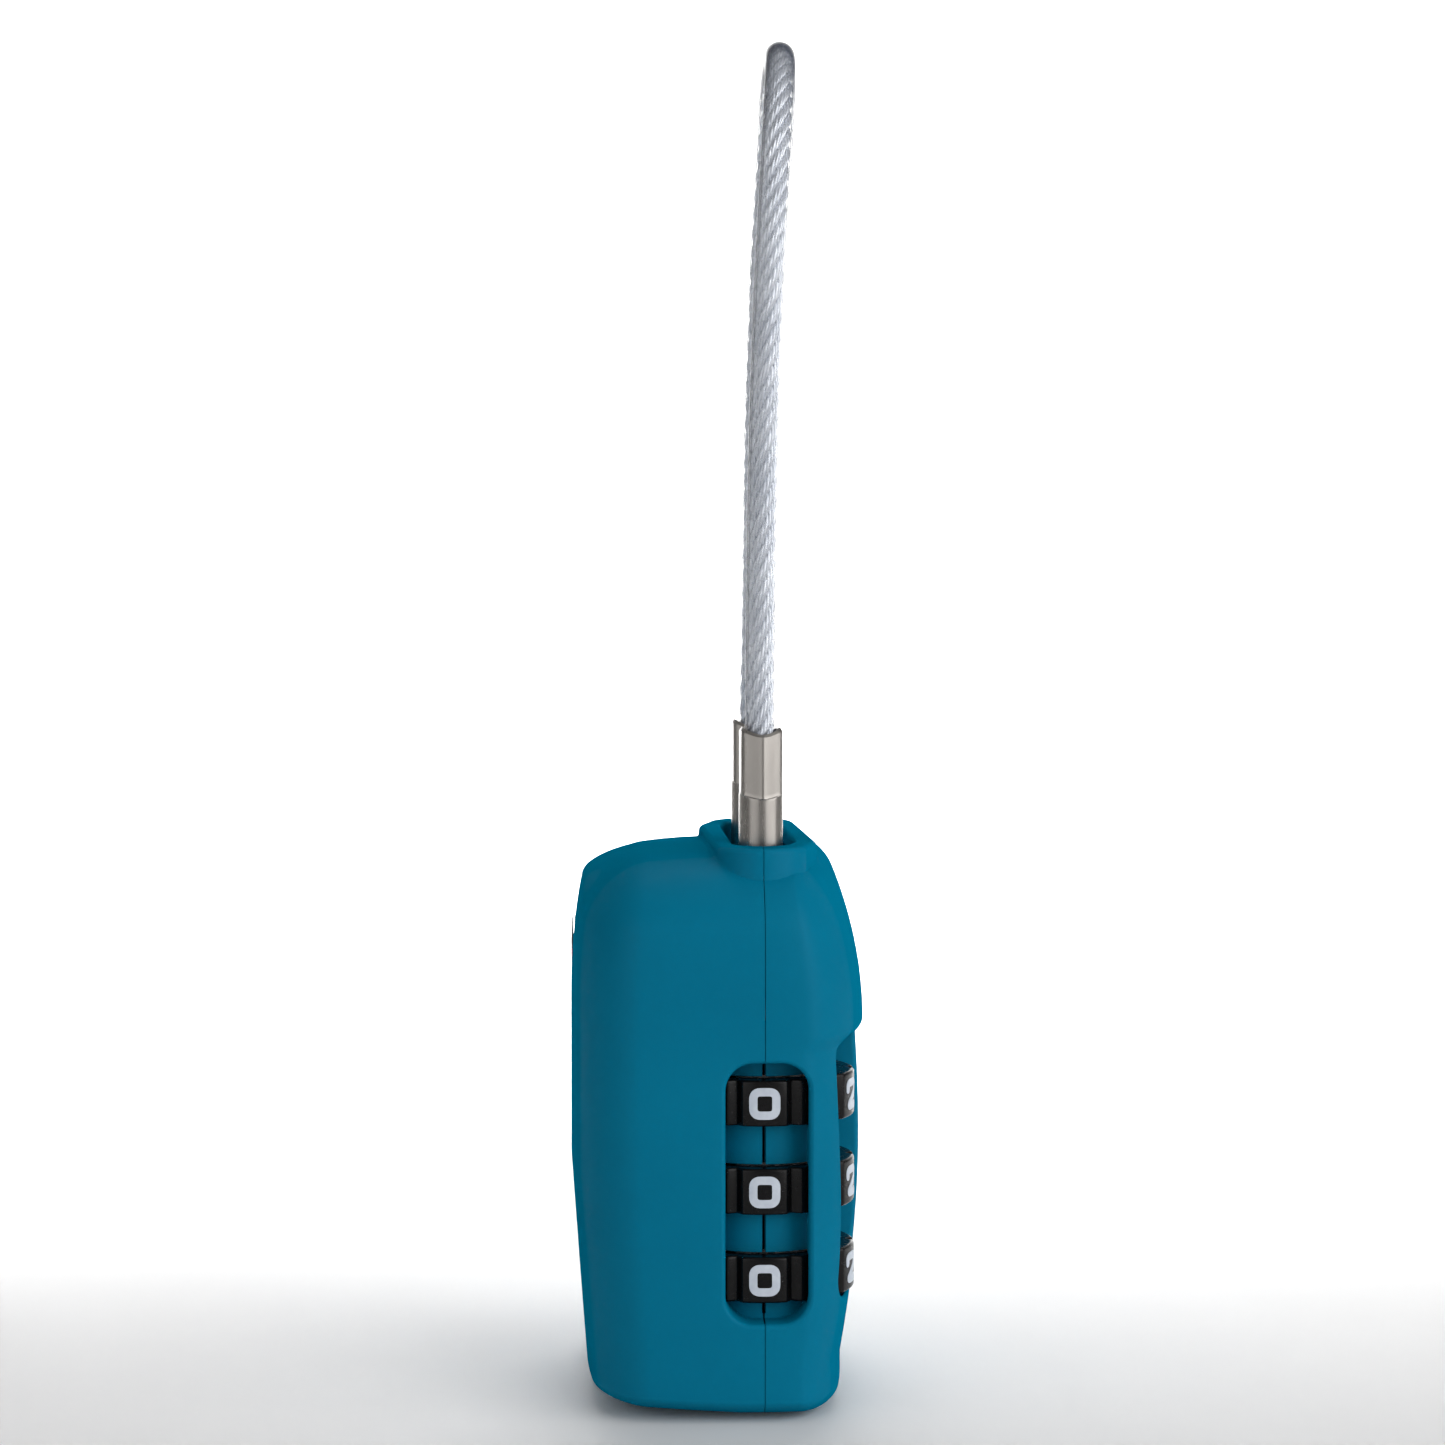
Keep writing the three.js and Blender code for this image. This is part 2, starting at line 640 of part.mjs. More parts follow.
function wafer(index) {
  const z = WAFER_FIRST_Z + index * WAFER_PITCH;
  const plate = box([-1.3, -2.2, z], [1.3, 1.9, z + WAFER_THICK]);
  const drop = 0.12 * (index % 3);
  const eye = box([-0.6, -1.3 - drop, z - 1], [0.6, 1.2 - drop, z + 1]);
  return geometryOf(cut(plate, eye).translate(0, KEY_Y, 0));
}

// The cam's lobe lies towards the front, and swings to the latch's leg when the key turns.
function plugCam() {
  const disc = column(0, 0, 16.8, 17.8, 2.0, SMALL_ROUND);
  const lobe = box([0, -0.8, 16.8], [2.9, 0.8, 17.8]);
  const hole = column(0, 0, 16, 18.5, 1.35, SMALL_ROUND);
  return geometryOf(cut(join(disc, lobe), hole).translate(0, KEY_Y, 0));
}

function camClip() {
  const ring = cut(column(0, 0, 18.1, 18.5, 2.1, SMALL_ROUND), column(0, 0, 18, 19, 1.35, SMALL_ROUND));
  return geometryOf(cut(ring, box([0, -0.8, 18], [3, 0.8, 19])).translate(0, KEY_Y, 0));
}

// ---- the assembly ---------------------------------------------------------------------------

const lock = new THREE.Group();
lock.position.set(SPLIT_X, 0, -CASE_LOW);

const FINISHES = {
  shell: ["#0a6f8f", 0.42, 0],
  dial: ["#0b0c0e", 0.22, 0],
  zinc: ["#9a9c9f", 0.5, 1],
  nickel: ["#b5aea4", 0.25, 1],
  steel: ["#8f9296", 0.35, 1],
  brass: ["#b08d4a", 0.35, 1],
  rope: ["#b9bec6", 0.35, 1],
  sleeve: ["#dfe3e8", 0.15, 0],
  badge: ["#a5323c", 0.4, 0],
  lens: ["#e9edf0", 0.05, 0],
};

function add(name, finish, shape) {
  const [color, roughness, metalness] = FINISHES[finish];
  const geometry = shape.isBufferGeometry ? shape : geometryOf(shape);
  const mesh = new THREE.Mesh(geometry, new THREE.MeshStandardMaterial({ color, roughness, metalness }));
  mesh.name = name;
  lock.add(mesh);
  return mesh;
}

const [rearShell, frontShell] = shells();
add("rear_shell", "shell", rearShell);
add("front_shell", "shell", frontShell);
add("top_block", "zinc", topBlock());
PIN_PLACES.forEach(([y, z], i) => {
  add("assembly_pin_" + (i + 1), "steel", rod("x", ...PIN_ENDS, y, z, 0.8, 16));
});

for (let i = 0; i < 3; i++) {
  add("dial_" + (i + 1), "dial", dialSolid(i));
  add("clutch_ring_" + (i + 1), "zinc", clutchRing(i));
}
add("spindle", "zinc", spindleGeometry());
const spindleSpring = add("spindle_spring", "steel", spring(1.55, 0.16, 4.1, 4.72, 1.5));
spindleSpring.position.y = DIAL_Y;
add("detent_spring", "steel", detentSpring());

const plunger = [
  [0, CASE_LOW + 0.3],
  [1.05, CASE_LOW + 0.3],
  [1.05, 1.4],
  [1.7, 1.4],
  [1.7, 1.9],
  [0, 1.9],
];
add("reset_plunger", "steel", turned(plunger, 0, DIAL_Y, SMALL_ROUND));
const resetSpring = add("reset_spring", "steel", spring(1.45, 0.15, 2.0, 3.5, 2.5));
resetSpring.position.y = DIAL_Y;

add("latch_plate", "steel", latchPlate());
const latchSpring = add("latch_spring", "steel", spring(1.05, 0.16, -1.2, 1.2, 3.5));
latchSpring.rotation.x = -Math.PI / 2;
latchSpring.position.set(0, 1.2, 21.5);

add("fixed_ferrule", "nickel", cut(ferrule(-FERRULE_Y, FIXED_LOW, false), anchorRod(4, 0.72)));
add("free_ferrule", "nickel", ferrule(FERRULE_Y, FREE_LOW, true));
add("anchor_pin", "steel", anchorRod(3.1, 0.5));
const ejectSpring = add("eject_spring", "steel", spring(1.35, 0.18, 20.5, 24.75, 4));
ejectSpring.position.y = FERRULE_Y;
add("wire_rope", "rope", cableTube(ROPE_R, 0));
add("cable_sleeve", "sleeve", cableTube(SLEEVE_R, SLEEVE_IN_R));

const barrel = [
  [PLUG_R + 0.15, BARREL_LOW],
  [BARREL_R, BARREL_LOW],
  [BARREL_R, BARREL_HIGH],
  [PLUG_R + 0.15, BARREL_HIGH],
  [PLUG_R + 0.15, BARREL_LOW],
];
add("lock_barrel", "zinc", turned(barrel, 0, KEY_Y));
add("key_plug", "brass", keyPlug());
for (let i = 0; i < WAFERS; i++) add("wafer_" + (i + 1), "brass", wafer(i));
add("plug_cam", "steel", plugCam());
add("cam_clip", "steel", camClip());

add("badge_disc", "badge", rod("x", -13.2, -13.0, 0, BADGE_Z, BADGE_R, ROUND));
const dome = [
  [0, 0],
  [BADGE_R, 0],
  [BADGE_R, 0.06],
  [1.75, 0.12],
  [1.2, 0.17],
  [0.6, 0.2],
  [0, CASE_REAR + BADGE_PROUD - DOME_BACK],
];
const lens = turned(dome, 0, 0, ROUND);
lens.rotateY(-Math.PI / 2);
lens.translate(-DOME_BACK, 0, BADGE_Z);
add("badge_dome", "lens", lens);

export default lock;
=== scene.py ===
"""Looks of the luggage combination padlock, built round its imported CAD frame.

Lengths in this file are millimetres. Depths count from the seam between the two shells, and heights
from a datum 1.35 mm above the underside, as in the CAD.
"""

import json
import math

import bmesh
import bpy
import numpy as np
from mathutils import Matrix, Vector
from mathutils.bvhtree import BVHTree


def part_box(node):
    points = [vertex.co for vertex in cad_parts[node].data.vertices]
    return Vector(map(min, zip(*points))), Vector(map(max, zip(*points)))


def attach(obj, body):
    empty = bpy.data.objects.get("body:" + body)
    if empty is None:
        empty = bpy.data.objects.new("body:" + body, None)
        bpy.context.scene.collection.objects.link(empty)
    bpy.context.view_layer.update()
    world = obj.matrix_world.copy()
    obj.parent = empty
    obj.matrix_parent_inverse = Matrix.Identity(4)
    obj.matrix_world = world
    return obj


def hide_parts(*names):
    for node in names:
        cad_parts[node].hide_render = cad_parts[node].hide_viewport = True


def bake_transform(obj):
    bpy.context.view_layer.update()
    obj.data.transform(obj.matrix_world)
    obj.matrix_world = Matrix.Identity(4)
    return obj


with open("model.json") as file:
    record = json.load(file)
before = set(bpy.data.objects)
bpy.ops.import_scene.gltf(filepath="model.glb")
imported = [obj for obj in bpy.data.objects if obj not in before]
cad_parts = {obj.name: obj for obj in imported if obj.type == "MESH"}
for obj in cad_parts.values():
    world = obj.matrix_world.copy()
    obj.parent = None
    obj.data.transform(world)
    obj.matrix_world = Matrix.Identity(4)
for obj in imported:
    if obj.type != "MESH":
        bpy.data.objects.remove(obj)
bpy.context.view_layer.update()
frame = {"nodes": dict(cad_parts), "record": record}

MM = 0.001
SPLIT_X = (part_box("rear_shell")[1][0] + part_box("front_shell")[0][0]) / 2 / MM

# ---- driving dimensions, as in the CAD ------------------------------------------------------

CASE_LOW = np.array([-13.46, -15.0, -1.35])
CASE_HIGH = np.array([7.6, 15.0, 37.7])
ROUND_LOW = np.array([4.2, 5.2, 1.5])
ROUND_HIGH = np.array([1.7, 5.2, 1.6])
SOFT_TOP, SOFT_TOP_FADE = 3.4, 10
SOFT_FRONT, SOFT_FRONT_FADE = 2.0, 6
SOFT_BESIDE = (4.5, 9.5)
SEAM = 0.05
WIDE_SEAM = 0.26
COLLAR_TILT = 0.018
COLLAR_TOP = 38.3
BROW_LIP_Z = 25.3
BROW_CUT_Z = 24.1
PANEL_FRONT = 7.33

DIAL_Y = -7.5
DIAL_Z = [20.65 - 6.115 * i for i in range(3)]
DIAL_R = 6.6
DIAL_HALF = 1.6
FLOOR_R = 5.3
SIDE_WINDOW = (-2.7, 3.0, 5.56, 23.5, 1.9)
FRONT_WINDOW = (-12.2, -3.0, 6.65, 25.0, 1.7)

FERRULE_Y = 7.5
FERRULE_R = 1.55
FERRULE_TOP = 46.3
HEX_STEP = 41.7
STEP_DIP = 0.38
RIM_DIP = 0.5
HEX_FLAT = 1.47
BORE_R = 1.22
BORE_LOW = 40.2

KEY_Y = 7.2
BADGE_Z = 30.1
BADGE_R = 2.2

SLEEVE_R = 1.1
SLEEVE_IN = 0.97
STRAND_LAY = 8.6

# The cable's route from the fixed ferrule over to the free one.
CABLE_ROUTE = [
    (0, -7.5, 40.6), (0, -7.5, 43.5), (0, -7.5, 46.5), (0.02, -7.65, 52), (0.08, -8.4, 60),
    (0.2, -9.5, 68), (0.45, -10.3, 76), (0.75, -10.3, 82), (1.1, -8.9, 87.5), (1.4, -6.2, 91.6),
    (1.55, -3.2, 93.6), (1.6, 0, 94.2), (1.6, 3.2, 93.6), (1.5, 6.2, 91.6), (1.3, 8.9, 87.5),
    (1.0, 10.3, 82), (0.75, 10.3, 76), (0.45, 9.5, 68), (0.28, 8.4, 60), (0.12, 7.65, 52),
    (0, 7.5, 46.5), (0, 7.5, 43.5), (0, 7.5, 40.6),
]


def metres(points):
    """Points of this file as points of the row frame."""
    return (np.asarray(points, float) + [SPLIT_X, 0, -CASE_LOW[2]]) * MM


# ---- camera ---------------------------------------------------------------------------------

VIEW_AZIMUTH = -1.87
VIEW_ELEVATION = 2.3
VIEW_DISTANCE = 236.6
VIEW_TARGET = (-2.45, 0.0, 46.3)
LENS = 81.14


def make_camera():
    turn, rise = math.radians(VIEW_AZIMUTH), math.radians(VIEW_ELEVATION)
    back = Vector((math.sin(turn) * math.cos(rise), -math.cos(turn) * math.cos(rise), math.sin(rise)))
    target = Vector(metres(VIEW_TARGET))
    data = bpy.data.cameras.new("camera")
    data.lens = LENS
    data.sensor_width = 36
    data.clip_start = 0.01
    data.clip_end = 20
    camera = bpy.data.objects.new("camera", data)
    camera.location = target + back * VIEW_DISTANCE * MM
    camera.rotation_euler = (-back).to_track_quat("-Z", "Y").to_euler()
    bpy.context.scene.collection.objects.link(camera)
    bpy.context.scene.camera = camera


# ---- materials ------------------------------------------------------------------------------

class Nodes:
    """A small helper that wires up a procedural material."""

    def __init__(self, name):
        self.material = bpy.data.materials.new(name)
        self.material.use_nodes = True
        self.tree = self.material.node_tree
        self.shader = self.tree.nodes["Principled BSDF"]
        self.place = self.new("ShaderNodeTexCoord").outputs["Object"]

    def new(self, kind, **settings):
        node = self.tree.nodes.new(kind)
        for key, value in settings.items():
            setattr(node, key, value)
        return node

    def link(self, out, into):
        self.tree.links.new(out, into)

    def set(self, **values):
        for key, value in values.items():
            self.shader.inputs[key.replace("_", " ")].default_value = value

    def stretched(self, scale):
        node = self.new("ShaderNodeMapping")
        node.inputs["Scale"].default_value = scale
        self.link(self.place, node.inputs["Vector"])
        return node.outputs["Vector"]

    def noise(self, scale, detail=3.0, roughness=0.55, vector=None):
        node = self.new("ShaderNodeTexNoise")
        node.inputs["Scale"].default_value = scale
        node.inputs["Detail"].default_value = detail
        node.inputs["Roughness"].default_value = roughness
        self.link(vector or self.place, node.inputs["Vector"])
        return node.outputs["Fac"]

    def ramp(self, value, stops):
        node = self.new("ShaderNodeValToRGB")
        ramp = node.color_ramp
        while len(ramp.elements) < len(stops):
            ramp.elements.new(0.5)
        for element, (at, color) in zip(ramp.elements, stops):
            element.position = at
            element.color = (*color, 1) if len(color) == 3 else color
        self.link(value, node.inputs["Fac"])
        return node.outputs["Color"]

    def between(self, value, low, high, start=0.3, end=0.7):
        node = self.new("ShaderNodeMapRange")
        for key, number in zip(("From Min", "From Max", "To Min", "To Max"), (start, end, low, high)):
            node.inputs[key].default_value = number
        self.link(value, node.inputs["Value"])
        return node.outputs["Result"]

    def bump(self, height, distance_mm, strength=1.0, under=None):
        node = self.new("ShaderNodeBump")
        node.inputs["Distance"].default_value = distance_mm * MM
        node.inputs["Strength"].default_value = strength
        self.link(height, node.inputs["Height"])
        if under is not None:
            self.link(under, node.inputs["Normal"])
        return node.outputs["Normal"]

    def color(self, out):
        self.link(out, self.shader.inputs["Base Color"])

    def rough(self, out):
        self.link(out, self.shader.inputs["Roughness"])

    def gloss(self, facing, edge):
        """How glossy the surface is where it faces the eye, and towards its edges."""
        weight = self.new("ShaderNodeLayerWeight")
        weight.inputs["Blend"].default_value = 0.5
        level = self.between(weight.outputs["Facing"], facing, edge, 0.15, 0.7)
        self.link(level, self.shader.inputs["Specular IOR Level"])

    def normal(self, out):
        self.link(out, self.shader.inputs["Normal"])


def teal_plastic():
    m = Nodes("teal_plastic")
    cloud = m.noise(90, 4)
    m.color(m.ramp(cloud, [(0.3, (0.0003, 0.152, 0.262)), (0.7, (0.0004, 0.165, 0.282))]))
    grain = m.noise(5200, 2, 0.6)
    m.rough(m.between(m.noise(700, 3), 0.40, 0.48))
    swell = m.bump(m.noise(160, 2), 0.03, 0.35)
    m.normal(m.bump(grain, 0.012, 0.35, swell))
    m.gloss(0.045, 0.0)
    m.shader.inputs["Subsurface Weight"].default_value = 0.06
    m.shader.inputs["Subsurface Radius"].default_value = (0.1, 0.6, 0.8)
    m.shader.inputs["Subsurface Scale"].default_value = 0.0012
    return m.material


def black_plastic():
    m = Nodes("black_plastic")
    m.color(m.ramp(m.noise(400, 3), [(0.3, (0.0022, 0.0022, 0.0026)), (0.7, (0.0045, 0.0042, 0.0045))]))
    m.rough(m.between(m.noise(1500, 4), 0.2, 0.3))
    m.gloss(0.2, 0.1)
    m.normal(m.bump(m.noise(3500, 2), 0.008, 0.2))
    return m.material


def digit_paint():
    m = Nodes("digit_paint")
    m.color(m.ramp(m.noise(1600, 3), [(0.3, (0.50, 0.55, 0.63)), (0.7, (0.58, 0.63, 0.70))]))
    m.rough(m.between(m.noise(2500, 3), 0.38, 0.5))
    m.normal(m.bump(m.noise(4000, 2), 0.008, 0.3))
    return m.material


def metal(name, dark, light, rough, grain=(1, 1, 1), scale=900, bump=0.004):
    m = Nodes(name)
    vector = m.stretched(grain)
    m.color(m.ramp(m.noise(scale / 6, 4, vector=vector), [(0.3, dark), (0.7, light)]))
    m.rough(m.between(m.noise(scale, 4, vector=vector), rough - 0.05, rough + 0.07))
    m.normal(m.bump(m.noise(scale * 2, 3, vector=vector), bump, 0.5))
    m.set(Metallic=1.0)
    return m.material


def clear_sleeve():
    """Soft clear vinyl, nearly clear where it faces the eye. Its colour is painted by facing: pale there,
    partly the vinyl's milky haze and partly a painted sheen, and dark along its edges as painted shade in
    place of refraction.
    """
    m = Nodes("clear_sleeve")
    facing = m.new("ShaderNodeLayerWeight")
    facing.inputs["Blend"].default_value = 0.5
    # Painted colour by facing: a pale painted sheen mixed with the vinyl's haze in the middle, and painted
    # dark edges standing in for refraction shade.
    m.color(m.ramp(facing.outputs["Facing"], [(0.35, (0.62, 0.66, 0.73)), (0.75, (0.035, 0.045, 0.075))]))
    cloud = m.noise(260, 3)
    # Opacity: a little random mottle, rising towards the edges so that the painted edge shade shows.
    mottle_and_edge_shade = m.new("ShaderNodeMath", operation="MULTIPLY_ADD")
    mottle_and_edge_shade.inputs[1].default_value = 0.1
    m.link(cloud, mottle_and_edge_shade.inputs[0])
    m.link(m.between(facing.outputs["Facing"], 0.10, 0.80, 0.52, 0.86), mottle_and_edge_shade.inputs[2])
    m.gloss(0.5, 0.03)
    m.link(mottle_and_edge_shade.outputs["Value"], m.shader.inputs["Alpha"])
    m.rough(m.between(m.noise(900, 3), 0.12, 0.2))
    m.normal(m.bump(m.noise(420, 2), 0.02, 0.3))
    m.set(IOR=1.53)
    return m.material


def above_middle(m):
    """0 below the badge's middle and 1 above it."""
    split = m.new("ShaderNodeSeparateXYZ")
    m.link(m.place, split.inputs["Vector"])
    middle = BADGE_Z - CASE_LOW[2]
    return m.between(split.outputs["Z"], 0, 1, (middle - 0.1) * MM, (middle + 0.1) * MM)


def badge_print():
    """A plain disc in two colours: dark above its middle and red below."""
    m = Nodes("badge_print")
    m.color(m.ramp(above_middle(m), [(0.45, (0.42, 0.02, 0.035)), (0.55, (0.03, 0.032, 0.04))]))
    m.rough(m.between(m.noise(1800, 3), 0.4, 0.5))
    return m.material


def clear_resin():
    m = Nodes("clear_resin")
    m.set(IOR=1.5)
    m.shader.inputs["Transmission Weight"].default_value = 0.35
    m.color(m.ramp(above_middle(m), [(0.45, (0.48, 0.05, 0.08)), (0.55, (0.10, 0.11, 0.13))]))
    m.rough(m.between(m.noise(900, 3), 0.02, 0.05))
    return m.material


TEAL = teal_plastic()
BLACK = black_plastic()
PAINT = digit_paint()
NICKEL = metal("satin_nickel", (0.28, 0.262, 0.245), (0.37, 0.349, 0.326), 0.29, (1, 1, 0.15), 1400)
ZINC = metal("cast_zinc", (0.34, 0.35, 0.36), (0.46, 0.47, 0.48), 0.48, (1, 1, 1), 1100, 0.02)
STEEL = metal("spring_steel", (0.42, 0.43, 0.45), (0.55, 0.56, 0.57), 0.3, (1, 1, 1), 1200)
BRASS = metal("turned_brass", (0.52, 0.37, 0.15), (0.64, 0.47, 0.22), 0.3, (1, 1, 0.2), 1200)
ROPE = metal("galvanised_wire", (0.70, 0.73, 0.79), (0.90, 0.92, 0.96), 0.26, (1, 1, 1), 1500)
SLEEVE = clear_sleeve()
BADGE = badge_print()
RESIN = clear_resin()


# ---- mesh helpers ---------------------------------------------------------------------------

def make(name, points, faces, material, sharp=35.0):
    """A piece from points of this file, smooth but for edges that bend more than sharp degrees."""
    mesh = bpy.data.meshes.new(name)
    mesh.from_pydata(metres(points).tolist(), [], [tuple(int(i) for i in f) for f in faces])
    mesh.materials.append(material)
    piece = bpy.data.objects.new(name, mesh)
    bpy.context.scene.collection.objects.link(piece)
    shade(piece, sharp)
    return piece


def shade(piece, sharp):
    work = bmesh.new()
    work.from_mesh(piece.data)
    bmesh.ops.recalc_face_normals(work, faces=work.faces)
    limit = math.radians(sharp)
    for face in work.faces:
        face.smooth = True
    for edge in work.edges:
        edge.smooth = len(edge.link_faces) == 2 and edge.calc_face_angle(0) < limit
    work.to_mesh(piece.data)
    work.free()


def boolean(piece, other, kind):
    """Joins, cuts or intersects piece with other, which is then removed."""
    change = piece.modifiers.new("boolean", "BOOLEAN")
    change.operation = kind
    change.solver = "MANIFOLD"
    change.object = other
    bpy.context.view_layer.update()
    graph = bpy.context.evaluated_depsgraph_get()
    result = bpy.data.meshes.new_from_object(piece.evaluated_get(graph))
    piece.modifiers.clear()
    piece.data = result


def drop(*pieces):
    for piece in pieces:
        bpy.data.objects.remove(piece)


def copy_of(piece, name):
    twin = bpy.data.objects.new(name, piece.data.copy())
    bpy.context.scene.collection.objects.link(twin)
    return twin


def stacked(rings, closed_ends=True):
    """Points and faces of equal rings joined one to the next; the ends are filled with a fan."""
    rings = np.asarray(rings, float)
    count, around = rings.shape[:2]
    points = rings.reshape(-1, 3)
    faces = []
    for k in range(count - 1):
        for i in range(around):
            j = (i + 1) % around
            faces.append((k * around + i, k * around + j, (k + 1) * around + j, (k + 1) * around + i))
    if closed_ends:
        faces.append(tuple(range(around))[::-1])
        faces.append(tuple((count - 1) * around + i for i in range(around)))
    return points, faces


def turned(profile, x, y, sides=96):
    """Points and faces of a closed turned solid; the (radius, z) profile starts and ends near the axis."""
    angles = np.linspace(0, 2 * math.pi, sides, endpoint=False)
    rings = [
        np.stack([x + r * np.cos(angles), y + r * np.sin(angles), np.full(sides, z)], axis=1)
        for r, z in profile
    ]
    return stacked(rings)


def rounded_rectangle(left, right, low, high, corner, step=7.5):
    """The outline of a rectangle with round corners, anticlockwise, as (u, v) points."""
    found = []
    turns = np.radians(np.arange(0, 90.1, step))
    for cx, cy, start in (
        (right - corner, high - corner, 0),
        (left + corner, high - corner, 90),
        (left + corner, low + corner, 180),
        (right - corner, low + corner, 270),
    ):
        angle = turns + math.radians(start)
        found.append(np.stack([cx + corner * np.cos(angle), cy + corner * np.sin(angle)], axis=1))
    return densified(np.concatenate(found), 0.4)


def grown(outline, amount):
    """An anticlockwise outline moved outwards."""
    along = np.roll(outline, -1, axis=0) - np.roll(outline, 1, axis=0)
    along /= np.linalg.norm(along, axis=1)[:, None]
    return outline + amount * np.stack([along[:, 1], -along[:, 0]], axis=1)


def densified(outline, step):
    """A closed outline again, with no side longer than step."""
    found = []
    for a, b in zip(outline, np.roll(outline, -1, axis=0)):
        parts = max(1, math.ceil(np.linalg.norm(b - a) / step))
        found += [a + (b - a) * i / parts for i in range(parts)]
    return np.array(found)


# ---- the case's outer surface ---------------------------------------------------------------

def smoothstep(low, high, value):
    t = np.clip((value - low) / (high - low), 0, 1)
    return t * t * (3 - 2 * t)


def front_depth(z):
    """How far forward the front reaches: a brow that bends back above, over a panel fullest midway."""
    brow_bend, bend_above, bend_below = 0.0187, 0.0048, 0.0062
    fullest, straight_below = 17, -15
    brow = CASE_HIGH[0] - brow_bend * np.maximum(0, z - BROW_LIP_Z) ** 2
    bend = np.where(z > fullest, bend_above, bend_below)
    hollow = bend * np.maximum(z - fullest, straight_below) ** 2
    return PANEL_FRONT - hollow + (brow - PANEL_FRONT + hollow) * smoothstep(BROW_CUT_Z, BROW_LIP_Z, z)


def rear_depth(z):
    """How far back the rear reaches: it tapers in straight below and bends in above."""
    slope, slope_top, bend, bend_low = 0.0728, 15.3, 0.0095, 27
    straight = slope * np.maximum(0, slope_top - z)
    return -CASE_LOW[0] - straight - bend * np.maximum(0, z - bend_low) ** 2


def further_in(depth, reach, more, fade):
    """How far a point near a rounded edge moves for the edge to reach further by `more`."""
    return more * np.where(depth < reach, depth / reach, np.clip(1 - (depth - reach) / fade, 0, 1))


def softened(p, shrink):
    """The edges beside the top and the front reach further in towards the narrow sides."""
    x, y, z = p.T
    share = smoothstep(*SOFT_BESIDE, np.abs(y))
    high = CASE_HIGH - shrink
    edge = ROUND_HIGH - shrink
    forward = share * further_in(high[0] - x, edge[0], SOFT_FRONT, SOFT_FRONT_FADE)
    down = share * further_in(high[2] - z, edge[2], SOFT_TOP, SOFT_TOP_FADE)
    return np.stack([x - forward, y, z - down], axis=1)


FRONT_BOW_LOW, FRONT_BOW_MORE, REAR_BOW = 1.3, 0.7, 1.0
WIDEST_X = -3
TOP_SAG_BACK, TOP_SAG_SIDES = 0.75, 0.65
UNDERSIDE_LIFT = 0.055
TAPER_FRONT, TAPER_REAR, TAPER_TOP, TAPER_LOW = 0.045, 0.05, 0.11, 0.012


def past(value, start, span):
    """How far a value is past a start, as a share of a span; 0 before it."""
    return np.maximum(0, value - start) / span


def crowned(p):
    """The rounded block's faces swell: front, back, ends, top and underside are slightly domed."""
    x, y, z = p.T
    side = y / CASE_HIGH[1]
    bow = FRONT_BOW_LOW + FRONT_BOW_MORE * smoothstep(6, 22, z)
    front_share = (front_depth(z) - bow * np.abs(side) ** 2.2) / CASE_HIGH[0]
    rear_share = (rear_depth(z) - REAR_BOW * side**2) / -CASE_LOW[0]
    rise = (z - CASE_LOW[2]) / (CASE_HIGH[2] - CASE_LOW[2])
    back = np.abs(np.minimum(0, x - WIDEST_X) / 9)
    sag = TOP_SAG_BACK * back**2 + TOP_SAG_SIDES * side**2
    lift = UNDERSIDE_LIFT * np.maximum(0, -2 - x)
    narrow = 1 - 0.01 * ((x - WIDEST_X) / 10) ** 2
    narrow -= TAPER_FRONT * past(x, 0, CASE_HIGH[0]) ** 3
    narrow -= TAPER_REAR * past(-x, 4, 9.5) ** 2.5
    narrow -= TAPER_TOP * past(z, 27, 10.7) ** 3
    narrow -= TAPER_LOW * past(-z, -14, 15) ** 2
    height = z - rise**8 * sag + (1 - rise) ** 8 * lift
    return np.stack([x * np.where(x > 0, front_share, rear_share), y * narrow, height], axis=1)


def stations(axis, step, extra=()):
    """Places along one side of the block, in even steps of angle over each rounded edge."""
    bend = np.tan(np.radians(np.linspace(0, 45, 14)))
    start = CASE_LOW[axis] + ROUND_LOW[axis] * (1 - bend[::-1])
    end = CASE_HIGH[axis] - ROUND_HIGH[axis] * (1 - bend)
    middle = np.linspace(start[-1], end[0], max(2, round((end[0] - start[-1]) / step)))[1:-1]
    return np.unique(np.round(np.concatenate([start, middle, end, extra]), 6))


def case_block(shrink=0.0, step=0.45):
    """Points and faces of the case's closed surface, moved inwards by about shrink."""
    lip = np.linspace(BROW_CUT_Z - 0.2, BROW_LIP_Z + 0.4, 19)
    sides = [stations(0, step), stations(1, step), stations(2, step, lip)]
    counts = [len(s) for s in sides]
    index = np.full(counts, -1)
    edge = np.zeros(counts, bool)
    for axis in range(3):
        np.moveaxis(edge, axis, 0)[[0, -1]] = True
    index[edge] = np.arange(edge.sum())
    i, j, k = np.nonzero(edge)
    block = np.stack([sides[0][i], sides[1][j], sides[2][k]], axis=1)
    inner = np.clip(block, CASE_LOW + ROUND_LOW, CASE_HIGH - ROUND_HIGH)
    spread = np.where(block < inner, ROUND_LOW, ROUND_HIGH)
    share = (block - inner) / spread
    share /= np.linalg.norm(share, axis=1)[:, None]
    points = crowned(softened(inner + share * (spread - shrink), shrink))
    faces = []
    for axis in range(3):
        turned_index = np.moveaxis(index, axis, 0)
        for layer, flip in ((turned_index[0], True), (turned_index[-1], False)):
            a, b, c, d = layer[:-1, :-1], layer[1:, :-1], layer[1:, 1:], layer[:-1, 1:]
            quads = np.stack([a, b, c, d], axis=-1).reshape(-1, 4)
            if flip != (axis == 1):
                quads = quads[:, ::-1]
            faces += quads.tolist()
    return points, faces


def tree_of(points, faces):
    return BVHTree.FromPolygons([tuple(p) for p in points], [tuple(f) for f in faces])


def reach(tree, start, along):
    """Where a ray first meets the case."""
    hit = tree.ray_cast(Vector(start), Vector(along))[0]
    return np.array(hit) if hit is not None else None


